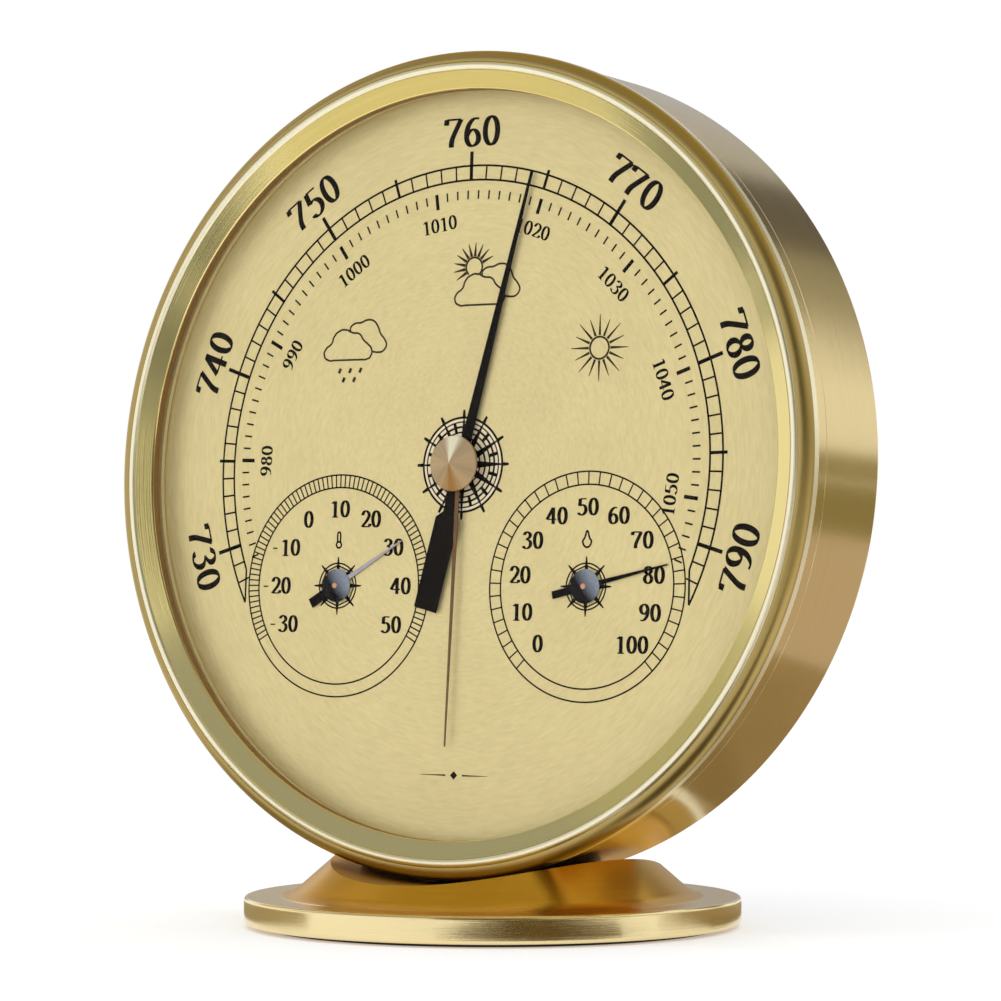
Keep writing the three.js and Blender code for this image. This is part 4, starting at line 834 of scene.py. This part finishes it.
flourish = bmesh.new()
for side in (-90, 90):
    spike(flourish, side, *FOOT_LINE, 0, FOOT_Z)
mark(flourish, LOZENGE_TURN, -FOOT_LOZENGE / 2, FOOT_LOZENGE / 2, FOOT_LOZENGE, 0, FOOT_Z)
printed("printed_foot_flourish", flourish)

# Hands
# Stamped from thin sheet: the pressure hand and the hygrometer hand are painted black, the thermometer hand
# is bright with a black tail, and the set hand is thin brass. They keep their CAD shapes.
HAND_BLACK = (0.004, 0.0025, 0.002)
HAND_BLACK_LIGHT = (0.009, 0.006, 0.004)
SET_HAND_TONES = (0.12, 0.062, 0.026), (0.21, 0.115, 0.048)
THERMO_READING = 30
BRIGHT_HAND_LIGHT = (0.40, 0.37, 0.42)

black_paint = finish("black paint", grain, (HAND_BLACK, HAND_BLACK_LIGHT),
                     roughness=(0.38, 0.5), metallic=0.0, relief=0.003, gloss=0.03, Fineness=2.5)
set_hand_brass = finish("set hand brass", grain, SET_HAND_TONES,
                        roughness=(0.3, 0.45), metallic=0.8, relief=0.003, Fineness=1.0)


def two_sided():
    """1 on one side of a line through a centre and 0 on the other, with a fade between them."""
    inputs = [("X", 0.0), ("Z", 0.0), ("Angle", 0.0), ("Fade", 0.05)]
    group, given, result = effect_group("Two sided", inputs)
    x, _, z = split(group, given.outputs["Place"])
    across = maths(group, "MULTIPLY", maths(group, "SUBTRACT", x, given.outputs["X"]),
                   maths(group, "SINE", given.outputs["Angle"]))
    along = maths(group, "MULTIPLY", maths(group, "SUBTRACT", z, given.outputs["Z"]),
                  maths(group, "COSINE", given.outputs["Angle"]))
    steps = maths(group, "DIVIDE", maths(group, "ADD", across, along), given.outputs["Fade"])
    side = maths(group, "MAXIMUM", maths(group, "ADD", steps, 0.5), 0.0)
    group.links.new(maths(group, "MINIMUM", side, 1.0), result.inputs["Marks"])
    return group


two_sides = two_sided()
thermo_angle = math.radians((THERMO_READING - THERMO_MIDDLE) * THERMO_STEP)
bright_hand = finish("bright hand", two_sides, (HAND_BLACK, BRIGHT_HAND_LIGHT),
                     roughness=(0.45, 0.3), metallic=0.9, relief=0.0,
                     X=-SUB_X, Z=SUB_Z, Angle=thermo_angle)
dressed(black_paint, "pressure_hand", "hygro_hand")
dressed(set_hand_brass, "set_hand")
dressed(bright_hand, "thermo_hand")

# Caps of the small hands
# Pressed steel domes that cover the hubs of the small hands, with a painted highlight in blue-grey on the
# upper right that fades into painted shade in black on the lower left. A copper pin is riveted in the middle
# of each.
CAP_RADIUS = 2.7
CAP_FRONT = 4.64
CAP_BACK = 5.15
CAP_STEPS = 48
DOME_STEPS = 10
PIN_RADIUS = 0.42
PIN_RISE = 0.06
PIN_STEPS = 20
# From black painted shade to a blue-grey painted highlight, with the angle, fade and shift of the line
# between them.
CAP_SHADE_TO_HIGHLIGHT_TONES = (0.010, 0.009, 0.010), (0.25, 0.275, 0.33)
CAP_HIGHLIGHT_ANGLE = math.radians(52)
CAP_FADE = 2.6
CAP_HIGHLIGHT_SHIFT = 0.75

cap_height = CAP_BACK - CAP_FRONT
dome_radius = (CAP_RADIUS ** 2 + cap_height ** 2) / (2 * cap_height)
rise = [CAP_RADIUS * i / DOME_STEPS for i in range(DOME_STEPS + 1)]
dome = [(r, CAP_FRONT + dome_radius - math.sqrt(dome_radius ** 2 - r ** 2)) for r in rise]
for name, x, body in (("thermo", -SUB_X, "thermo_pointer"), ("hygro", SUB_X, "hygro_pointer")):
    cap = moved(turned(dome + [(0, CAP_BACK)], steps=CAP_STEPS), x, SUB_Z)
    # Painted highlight on the dome's upper right and painted shade on its lower left.
    cap_steel_painted_light = finish(f"{name} cap steel", two_sides, CAP_SHADE_TO_HIGHLIGHT_TONES,
                       roughness=(0.4, 0.25), metallic=0.8, relief=0.0, gloss=0.1,
                       X=x + CAP_HIGHLIGHT_SHIFT, Z=SUB_Z, Angle=CAP_HIGHLIGHT_ANGLE, Fade=CAP_FADE)
    fitted(shaped(f"{name}_dome", cap, CASE), cap_steel_painted_light, body, "black_paint", f"{name}_cap")
    pin = ring(0, PIN_RADIUS, CAP_FRONT - PIN_RISE, CAP_BACK, [(1, PIN_RISE * 2, 3)], PIN_STEPS)
    fitted(shaped(f"{name}_pin", moved(pin, x, SUB_Z), CASE), copper, body, "copper")

# Rings that hold the dial and the glass
# A moulded spacer, coloured like the dial, between the glass and the dial, and a retaining ring of the same
# plastic behind it.
SPACER_INNER = 60.35
STACK_RADIUS = 63.1
SPACER_FRONT = 4.5
SPACER_BACK = 5.3
PLASTIC_TONES = (0.66, 0.52, 0.25), (0.76, 0.62, 0.32)

ring_plastic = finish("ring plastic", grain, PLASTIC_TONES,
                      roughness=(0.45, 0.6), metallic=0.0, relief=0.02, Fineness=3.0)
spacer_ring = ring(SPACER_INNER, STACK_RADIUS, SPACER_FRONT, SPACER_BACK)
spacer = shaped("moulded_spacer_ring", spacer_ring, CASE)
fitted(spacer, ring_plastic, "case_and_stand", "dark_plastic", "spacer_ring")
dressed(ring_plastic, "retaining_ring")

# Glass
# A flat disc of clear glass with a hole for the set hand's bush, between the bezel's lip and the spacer. It
# keeps its CAD shape, and a low index keeps its glare as faint as in the photograph.
GLASS_TINT = (0.985, 0.99, 0.985, 1)
GLASS_INDEX = 1.12

glass = bpy.data.materials.new("clear glass")
glass.use_nodes = True
glass_tree = glass.node_tree
glass_shader = glass_tree.nodes["Principled BSDF"]
connected(glass_tree, glass_shader, {
    "Base Color": GLASS_TINT,
    "Roughness": 0.0,
    "Transmission Weight": 1.0,
    "IOR": GLASS_INDEX,
})
glass_clear = glass_tree.nodes.new("ShaderNodeBsdfTransparent")
glass_mix = glass_tree.nodes.new("ShaderNodeMixShader")
shadow_ray = glass_tree.nodes.new("ShaderNodeLightPath").outputs["Is Shadow Ray"]
glass_tree.links.new(shadow_ray, glass_mix.inputs[0])
glass_tree.links.new(glass_shader.outputs[0], glass_mix.inputs[1])
glass_tree.links.new(glass_clear.outputs[0], glass_mix.inputs[2])
glass_tree.links.new(glass_mix.outputs[0], glass_tree.nodes["Material Output"].inputs["Surface"])
dressed(glass, "glass")

# Bezel
# A turned brass ring pressed into the drum: a lip over the glass, a flat sloping face, a bead at the ridge, a
# rounded shoulder with a cut edge, and a skirt as wide as the drum. The bead and the cut edge are near white
# as a painted highlight, the rougher shoulder is darker as painted shade, and the lip's inner wall is dark
# brown as painted shade.
BEZEL_RADIUS = 66.0
BEZEL_DEPTH = 6.2
EDGE_BACK = 3.5
WALL_RADIUS = 65.72
BEZEL_BORE = 63.35
SPIGOT_RADIUS = 64.25
SPIGOT_BACK = 9.0
LIP_RADIUS = 59.85
LIP_SETBACK = 1.55
LIP_BACK = 3.0
RIDGE_RADIUS = 63.4
SHOULDER = 1.75
BEAD = 0.75
BEAD_SEAT = 0.3
BEAD_GROOVE = BEAD * 0.9
BEAD_ROUND = BEAD * 0.95
LIP_EDGE_ROUND = 0.2
CUT_EDGE_ROUND = 0.2
SEAM_ROUND = 0.1
FACE_MARGIN = 0.02
GOLD_TONES = (0.79, 0.65, 0.26), (0.87, 0.74, 0.33)
# Near white, as a painted highlight on the bead and the cut edge.
BEAD_PAINTED_HIGHLIGHT_TONES = (0.98, 0.90, 0.62), (1.0, 0.95, 0.72)
# Darker, as painted shade on the rougher shoulder.
SHOULDER_PAINTED_SHADE_TONES = (0.43, 0.31, 0.10), (0.52, 0.39, 0.15)
# Dark brown, as painted shade on the lip's inner wall.
LIP_PAINTED_SHADE_TONES = (0.25, 0.14, 0.05), (0.36, 0.21, 0.08)

bezel_gold = finish("bezel gold", marks_of_turning, GOLD_TONES,
                    roughness=(0.12, 0.18), metallic=1.0, relief=0.009)
shoulder_painted_shade = finish("rough shoulder painted shade", marks_of_turning, SHOULDER_PAINTED_SHADE_TONES,
                        roughness=(0.32, 0.42), metallic=1.0, relief=0.014)
lip_painted_shade = finish("lip painted shade", grain, LIP_PAINTED_SHADE_TONES,
                    roughness=(0.45, 0.6), metallic=0.6, relief=0.003, Fineness=2.0)
bead_painted_highlight = finish("bead painted highlight", marks_of_turning, BEAD_PAINTED_HIGHLIGHT_TONES,
                    roughness=(0.30, 0.40), metallic=1.0, relief=0.006)
bead_inner = RIDGE_RADIUS - BEAD_GROOVE
bead_outer = RIDGE_RADIUS + BEAD_GROOVE
shoulder_back = BEAD_SEAT + SHOULDER
bezel_section = [
    (BEZEL_BORE, LIP_BACK),
    (LIP_RADIUS, LIP_BACK),
    (LIP_RADIUS, LIP_SETBACK),
    (bead_inner, BEAD_SEAT),
    (bead_inner, BEAD),
    (bead_outer, BEAD),
    (bead_outer, BEAD_SEAT),
    (BEZEL_RADIUS, BEAD_SEAT),
    (BEZEL_RADIUS, EDGE_BACK),
    (WALL_RADIUS, EDGE_BACK),
    (WALL_RADIUS, BEZEL_DEPTH),
    (SPIGOT_RADIUS, BEZEL_DEPTH),
    (SPIGOT_RADIUS, SPIGOT_BACK),
    (BEZEL_BORE, SPIGOT_BACK),
]
bezel_rounds = [
    (2, LIP_EDGE_ROUND, 3),
    (7, SHOULDER, 14),
    (8, CUT_EDGE_ROUND, 4),
    (9, SEAM_ROUND, 2),
    (10, FRONT_EDGE_ROUND, 2),
]
bezel = shaped("brushed_bezel", turned(bezel_section, bezel_rounds, FINE_TURN_STEPS), CASE)
fitted(bezel, bezel_gold, "case_and_stand", "satin_brass", "bezel")
# Painted shade on the shoulder.
refinished(bezel, shoulder_painted_shade, CASE,
           lambda radius, depth: radius > bead_outer - HOLD and depth < shoulder_back)
# Painted shade on the lip's inner wall.
refinished(bezel, lip_painted_shade, CASE,
           lambda radius, depth: radius < LIP_RADIUS + FACE_MARGIN and depth > LIP_SETBACK)
# Painted highlight on the cut edge.
refinished(bezel, bead_painted_highlight, CASE,
           lambda radius, depth: radius > WALL_RADIUS + SEAM_ROUND and shoulder_back < depth < EDGE_BACK)
refinished(bezel, satin_brass, CASE, lambda radius, depth: radius > SPIGOT_RADIUS and depth > EDGE_BACK)

bead_rounds = [(corner, BEAD_ROUND, 6) for corner in range(4)]
bead_ring = ring(RIDGE_RADIUS - BEAD, RIDGE_RADIUS + BEAD, 0, BEAD * 2, bead_rounds, FINE_TURN_STEPS)
# Painted highlight on the bead.
fitted(shaped("bezel_bead", bead_ring, CASE), bead_painted_highlight, "case_and_stand", "satin_brass")

# Set knob
# A turned brass button with a shallow cone face, pressed on the spindle that carries the set hand through the
# glass. Fine rays run from the middle of the face, with a painted highlight wedge at the top and a painted
# shade wedge at the bottom.
KNOB_RADIUS = 4.45
KNOB_BACK = 3.0
KNOB_RIM = 0.35
KNOB_CONE = 1.3
KNOB_SOCKET = 0.85
KNOB_SOCKET_FRONT = 2.15
KNOB_FACE_ROUND = 0.1
KNOB_BACK_ROUND = 0.06
KNOB_STEPS = 96
# Powers of the painted highlight wedge and the painted shade wedge, and the depth of the painted shade.
PAINTED_HIGHLIGHT_POWER = 18.0
PAINTED_SHADE_POWER = 8.0
PAINTED_SHADE_DEPTH = 0.25
RAY_LEVEL = 0.13
RAY_DEPTH = 0.22
# From the brown of the painted shade to the cream of the painted highlight.
KNOB_SHADE_TO_HIGHLIGHT_TONES = (0.33, 0.165, 0.045), (1.0, 0.93, 0.66)


def facing_sheen():
    """Fine rays from the middle of a faced cone, with a painted highlight wedge at the top and a painted
    shade wedge at the bottom.
    """
    group, given, result = effect_group("Rays and painted wedges", [("Rays", 5.0)])
    x, _, z = split(group, given.outputs["Place"])
    angle = maths(group, "ARCTAN2", x, z)
    up = maths(group, "COSINE", angle)
    around = connected(group, group.nodes.new("ShaderNodeCombineXYZ"), {
        "X": maths(group, "MULTIPLY", up, given.outputs["Rays"]),
        "Y": maths(group, "MULTIPLY", maths(group, "SINE", angle), given.outputs["Rays"]),
    })
    noise = connected(group, group.nodes.new("ShaderNodeTexNoise"), {
        "Vector": around.outputs[0],
        "Scale": 1.0,
        "Detail": MARKS_DETAIL,
    })
    rays = maths(group, "ADD", maths(group, "MULTIPLY", noise.outputs[0], RAY_DEPTH), RAY_LEVEL)
    # A narrow painted highlight wedge at the top and a painted shade wedge at the bottom.
    light = maths(group, "POWER", maths(group, "MAXIMUM", up, 0.0), PAINTED_HIGHLIGHT_POWER)
    down = maths(group, "MAXIMUM", maths(group, "MULTIPLY", up, -1.0), 0.0)
    dark = maths(group, "MULTIPLY", maths(group, "POWER", down, PAINTED_SHADE_POWER), PAINTED_SHADE_DEPTH)
    sheen = maths(group, "ADD", rays, maths(group, "SUBTRACT", light, dark))
    group.links.new(maths(group, "MAXIMUM", sheen, 0.0), result.inputs["Marks"])
    return group


knob_brass = finish("knob brass", facing_sheen(), KNOB_SHADE_TO_HIGHLIGHT_TONES,
                    roughness=(0.28, 0.4), metallic=0.7, relief=0.004)
knob_section = [
    (0, KNOB_BACK - KNOB_RIM - KNOB_CONE),
    (KNOB_RADIUS, KNOB_BACK - KNOB_RIM),
    (KNOB_RADIUS, KNOB_BACK),
    (KNOB_SOCKET, KNOB_BACK),
    (KNOB_SOCKET, KNOB_SOCKET_FRONT),
    (0, KNOB_SOCKET_FRONT),
]
knob_rounds = [(1, KNOB_FACE_ROUND, 3), (2, KNOB_BACK_ROUND, 2)]
knob = shaped("turned_set_knob", turned(knob_section, knob_rounds, KNOB_STEPS), CASE)
fitted(knob, knob_brass, "set_pointer", "plain_brass", "set_knob")
dressed(plain_brass, "knob_spindle", "knob_bush")

# Back cover and its screws
# A moulded black disc sunk into the rear of the drum, with air slots for the coils and the capsule and a
# hole for the calibration screw. Three steel screws with cross recesses hold it to the ledge.
COVER_RADIUS = 64.25
COVER_FRONT = 20.7
COVER_BACK = 21.8
COVER_EDGE = 0.3
SLOT_COUNT = 7
SLOT_PITCH = 7.0
SLOT_WIDTH = 2.4
SLOT_LENGTH = 24.0
SLOT_Z = -34.0
SLOT_CUT = 4.0
SLOT_END_FLAT = 0.01
SLOT_END_STEPS = 6
ACCESS_RADIUS = 2.8
ACCESS_Z = 26.0
SCREW_HEAD_RADIUS = 2.0
SCREW_RADIUS = 0.9
SCREW_TIP = 18.25
SCREW_HEAD_FRONT = 22.05
SCREW_HEAD = 0.8
SCREW_DOME = SCREW_HEAD * 0.7
SCREW_TIP_ROUND = 0.2
RECESS_WIDTH = 0.45
RECESS_LENGTH = 2.2
RECESS_DEPTH = 0.45
COVER_TONES = (0.012, 0.012, 0.012), (0.030, 0.029, 0.028)

cover_plastic = finish("cover plastic", grain, COVER_TONES,
                       roughness=(0.5, 0.62), metallic=0.0, relief=0.03, Fineness=5.0)


def block(width, depth, height, x, y, z):
    bm = bmesh.new()
    size = Matrix.Diagonal((width, depth, height, 1))
    bmesh.ops.create_cube(bm, size=1, matrix=Matrix.Translation((x, y, z)) @ size)
    return bm


def slot_shape(x):
    """A block through the cover whose ends are round."""
    bm = block(SLOT_WIDTH, SLOT_CUT, SLOT_LENGTH, x, COVER_BACK, SLOT_Z)
    corners = [edge for edge in bm.edges if abs(edge.verts[0].co.y - edge.verts[1].co.y) > SLOT_CUT / 2]
    bmesh.ops.bevel(bm, geom=corners, offset=SLOT_WIDTH / 2 - SLOT_END_FLAT, affect="EDGES",
                    segments=SLOT_END_STEPS, profile=ROUND_PROFILE, material=-1)
    return bm


def cover_hole(radius, x, z):
    return rod(radius, COVER_FRONT - DRILL_OVERRUN, COVER_BACK + DRILL_OVERRUN, x, z)


cover_disc = ring(0, COVER_RADIUS, COVER_FRONT, COVER_BACK, [(2, COVER_EDGE, 3)])
cover = shaped("moulded_back_cover", cover_disc, CASE)
openings = [cover_hole(ACCESS_RADIUS, 0, ACCESS_Z)]
openings += [slot_shape((i - (SLOT_COUNT - 1) / 2) * SLOT_PITCH) for i in range(SLOT_COUNT)]
openings += [cover_hole(COVER_SCREW_HOLE, x, z) for x, z in cover_screw_places]
cut(cover, *[shaped("cover_tool", opening, CASE) for opening in openings])
fitted(cover, cover_plastic, "case_and_stand", "dark_plastic", "back_cover")

screw_back = SCREW_HEAD_FRONT + SCREW_HEAD
screw_section = [
    (0, SCREW_TIP),
    (SCREW_RADIUS, SCREW_TIP),
    (SCREW_RADIUS, SCREW_HEAD_FRONT),
    (SCREW_HEAD_RADIUS, SCREW_HEAD_FRONT),
    (SCREW_HEAD_RADIUS, screw_back),
    (0, screw_back),
]
screw_rounds = [(4, SCREW_DOME, 5), (1, SCREW_TIP_ROUND, 1)]
recess_sizes = ((RECESS_WIDTH, RECESS_LENGTH), (RECESS_LENGTH, RECESS_WIDTH))
for i, (x, z) in enumerate(cover_screw_places):
    screw = shaped(f"cover_screw_{i + 1}", moved(turned(screw_section, screw_rounds, ROD_STEPS), x, z), CASE)
    crosses = [block(width, RECESS_DEPTH * 2, height, x, screw_back, z) for width, height in recess_sizes]
    cut(screw, *[shaped("cross_tool", cross, CASE) for cross in crosses])
    fitted(screw, steel, "case_and_stand", "steel", f"back_cover_screw_{i + 1}")

# Studio
# A white floor in a white room, under three soft boxes: on the left, in front and a strip on the right. Grey
# and tinted cards stand and lie round the object, and show in its reflections alone.
ROOM_DIFFUSE = 0.95
FLOOR_SIZE = 6.0
FLOOR_GREY = 0.8
FLOOR_LIFT = 0.3
FLOOR_ROUGHNESS = 0.9
CARD_LIFT = 0.0005
CARD_DISTANCE = 2.5
VIEW_TARGET = Vector((0, 0, 0.072))
# Name, azimuth, elevation, distance, width, height and brightness of each lamp, in degrees and metres.
SOFT_BOXES = [
    ("left soft box", -36, 14, 0.9, 0.5, 0.4, 1.7),
    ("front soft box", 34, 6, 0.9, 0.8, 0.6, 0.9),
    ("right strip", 106, 6, 0.9, 0.35, 0.8, 0.8),
]
# Name, colour, azimuth, elevation, width and height of each card that stands.
STANDING_CARDS = [
    ("camera_card", (0.13, 0.12, 0.08), 42, 10, 3.5, 4.2),
    ("high_front_card", (0.39, 0.41, 0.46), -34, 38, 3.3, 1.1),
    ("left_high_card", (0.50, 0.50, 0.42), -70, 21, 0.7, 0.7),
    ("left_rear_card", (0.58, 0.46, 0.22), -121, 37, 1.7, 1.7),
    ("top_card", (0.50, 0.42, 0.20), 60, 84, 4.4, 4.4),
    ("right_low_card", (0.45, 0.35, 0.18), 89, 2, 1.0, 1.3),
    ("front_horizon_card", (0.28, 0.29, 0.29), 2, 0.5, 0.8, 0.15),
    ("right_high_card", (0.62, 0.60, 0.50), 72, 26, 1.3, 1.2),
    ("right_card", (0.60, 0.56, 0.46), 118, 5, 1.8, 1.2),
    ("rear_high_card", (0.13, 0.12, 0.11), 176, 28, 0.7, 0.88),
    ("rear_left_card", (0.50, 0.50, 0.52), 199, 20, 1.3, 1.3),
    ("rear_right_card", (0.36, 0.34, 0.27), 163.5, 22, 0.5, 0.9),
    ("rear_horizon_card", (0.32, 0.28, 0.15), 151, 0.8, 1.4, 0.17),
    ("rear_low_card", (0.42, 0.42, 0.42), 214, 3.5, 1.6, 0.5),
]
# Name, colour, azimuth, near and far ends and width of each sheet that lies on the floor.
LYING_SHEETS = [
    ("front_white_sheet", (1.0, 1.0, 1.0), -3, 0.045, 0.12, 0.05),
    ("front_right_sheet", (0.10, 0.065, 0.02), 50, 0.045, 0.2, 0.06),
    ("right_white_sheet", (1.0, 1.0, 1.0), 88, 0.045, 0.12, 0.03),
    ("front_far_sheet", (0.22, 0.23, 0.23), 1, 0.48, 2.8, 0.6),
    ("front_near_sheet", (0.22, 0.23, 0.23), -9.5, 0.315, 0.48, 0.09),
    ("front_left_sheet", (0.80, 0.75, 0.56), -36, 0.22, 0.345, 0.19),
    ("left_sheet", (0.36, 0.29, 0.16), -65, 0.045, 0.13, 0.07),
    ("left_far_sheet", (0.30, 0.32, 0.34), -64, 0.352, 1.2, 0.26),
    ("left_end_sheet", (0.30, 0.32, 0.34), -72, 1.21, 2.6, 0.5),
    ("right_rear_sheet", (0.24, 0.17, 0.07), 116, 0.045, 0.1, 0.055),
    ("right_far_sheet", (0.50, 0.42, 0.26), 62, 0.2, 0.6, 0.3),
    ("rear_right_sheet", (0.38, 0.29, 0.17), 131, 0.045, 0.12, 0.07),
    ("rear_middle_sheet", (0.60, 0.50, 0.42), 137, 0.12, 0.42, 0.16),
    ("rear_far_sheet", (0.29, 0.25, 0.12), 147, 0.42, 2.6, 1.0),
]


def toward(azimuth, elevation, distance, centre=VIEW_TARGET):
    """A place round a centre, by degrees to the right of the front and degrees above level."""
    a, e = math.radians(azimuth), math.radians(elevation)
    return centre + distance * Vector((math.sin(a) * math.cos(e), -math.cos(a) * math.cos(e), math.sin(e)))


def facing(made, place):
    made.location = place
    made.rotation_euler = (VIEW_TARGET - place).to_track_quat("-Z", "Y").to_euler()


def soft_box(name, azimuth, elevation, distance, width, height, brightness):
    data = bpy.data.lights.new(name, "AREA")
    data.shape = "RECTANGLE"
    data.size, data.size_y = width, height
    data.energy = brightness * math.pi * width * height
    lamp = bpy.data.objects.new(name, data)
    bpy.context.scene.collection.objects.link(lamp)
    lamp.visible_camera = False
    lamp.visible_glossy = False
    lamp.visible_transmission = False
    facing(lamp, toward(azimuth, elevation, distance))


def card(name, colour, width, height, place, turn):
    """A plain glowing sheet that shows in reflections alone."""
    bm = bmesh.new()
    size = Matrix.Diagonal((width, height, 1, 1))
    bmesh.ops.create_grid(bm, x_segments=1, y_segments=1, size=0.5, matrix=size)
    made = shaped(name, bm, Matrix.Translation(place) @ turn.to_matrix().to_4x4())
    material = bpy.data.materials.new(name)
    material.use_nodes = True
    connected(material.node_tree, material.node_tree.nodes["Principled BSDF"], {
        "Base Color": (0, 0, 0, 1),
        "Specular IOR Level": 0,
        "Emission Color": (*colour, 1),
        "Emission Strength": 1,
    })
    made.data.materials.append(material)
    made.visible_camera = False
    made.visible_diffuse = False
    made.visible_transmission = False
    made.visible_shadow = False


def standing_card(name, colour, azimuth, elevation, width, height):
    place = toward(azimuth, elevation, CARD_DISTANCE)
    card(name, colour, width, height, place, (VIEW_TARGET - place).to_track_quat("-Z", "Y"))


def lying_sheet(name, colour, azimuth, near, far, width):
    place = toward(azimuth, 0, (near + far) / 2, Vector((0, 0, CARD_LIFT)))
    card(name, colour, width, far - near, place, Euler((0, 0, math.radians(azimuth))).to_quaternion())


def seen_directly(tree):
    """1 for rays from the camera, and for those that metal and glass send on."""
    path = tree.nodes.new("ShaderNodeLightPath")
    seen = maths(tree, "ADD", path.outputs["Is Camera Ray"], path.outputs["Is Glossy Ray"])
    seen = maths(tree, "ADD", seen, path.outputs["Is Transmission Ray"])
    return maths(tree, "MINIMUM", seen, 1.0)


world = bpy.data.worlds.new("studio")
bpy.context.scene.world = world
world.use_nodes = True
backdrop = world.node_tree.nodes["Background"]
backdrop.inputs["Color"].default_value = (1, 1, 1, 1)
level = world.node_tree.nodes.new("ShaderNodeMapRange")
connected(world.node_tree, level, {
    "Value": seen_directly(world.node_tree),
    "To Min": ROOM_DIFFUSE,
    "To Max": 1.0,
})
world.node_tree.links.new(level.outputs[0], backdrop.inputs["Strength"])

floor_bm = bmesh.new()
bmesh.ops.create_grid(floor_bm, x_segments=1, y_segments=1, size=FLOOR_SIZE / 2)
floor = shaped("floor", floor_bm, Matrix.Identity(4))
floor_paper = bpy.data.materials.new("white paper")
floor_paper.use_nodes = True
paper_tree = floor_paper.node_tree
connected(paper_tree, paper_tree.nodes["Principled BSDF"], {
    "Base Color": (FLOOR_GREY, FLOOR_GREY, FLOOR_GREY, 1),
    "Roughness": FLOOR_ROUGHNESS,
    "Specular IOR Level": 0,
    "Emission Color": (1, 1, 1, 1),
    "Emission Strength": maths(paper_tree, "MULTIPLY", seen_directly(paper_tree), FLOOR_LIFT),
})
floor.data.materials.append(floor_paper)

for soft_box_row in SOFT_BOXES:
    soft_box(*soft_box_row)
for card_row in STANDING_CARDS:
    standing_card(*card_row)
for sheet_row in LYING_SHEETS:
    lying_sheet(*sheet_row)

# Camera
# A long lens at the photograph's angle, low and to the right of the dial. The shift puts the object where it
# stands in the photograph.
VIEW_AZIMUTH = 33.733
VIEW_ELEVATION = -1.234
VIEW_DISTANCE = 0.64577
VIEW_LENS = 143.86
VIEW_SHIFT = (0.00783, -0.02204)

camera_data = bpy.data.cameras.new("camera")
camera_data.lens = VIEW_LENS
camera_data.shift_x, camera_data.shift_y = VIEW_SHIFT
camera = bpy.data.objects.new("camera", camera_data)
bpy.context.scene.collection.objects.link(camera)
facing(camera, toward(VIEW_AZIMUTH, VIEW_ELEVATION, VIEW_DISTANCE))
bpy.context.scene.camera = camera
bpy.context.scene.view_settings.view_transform = "Standard"
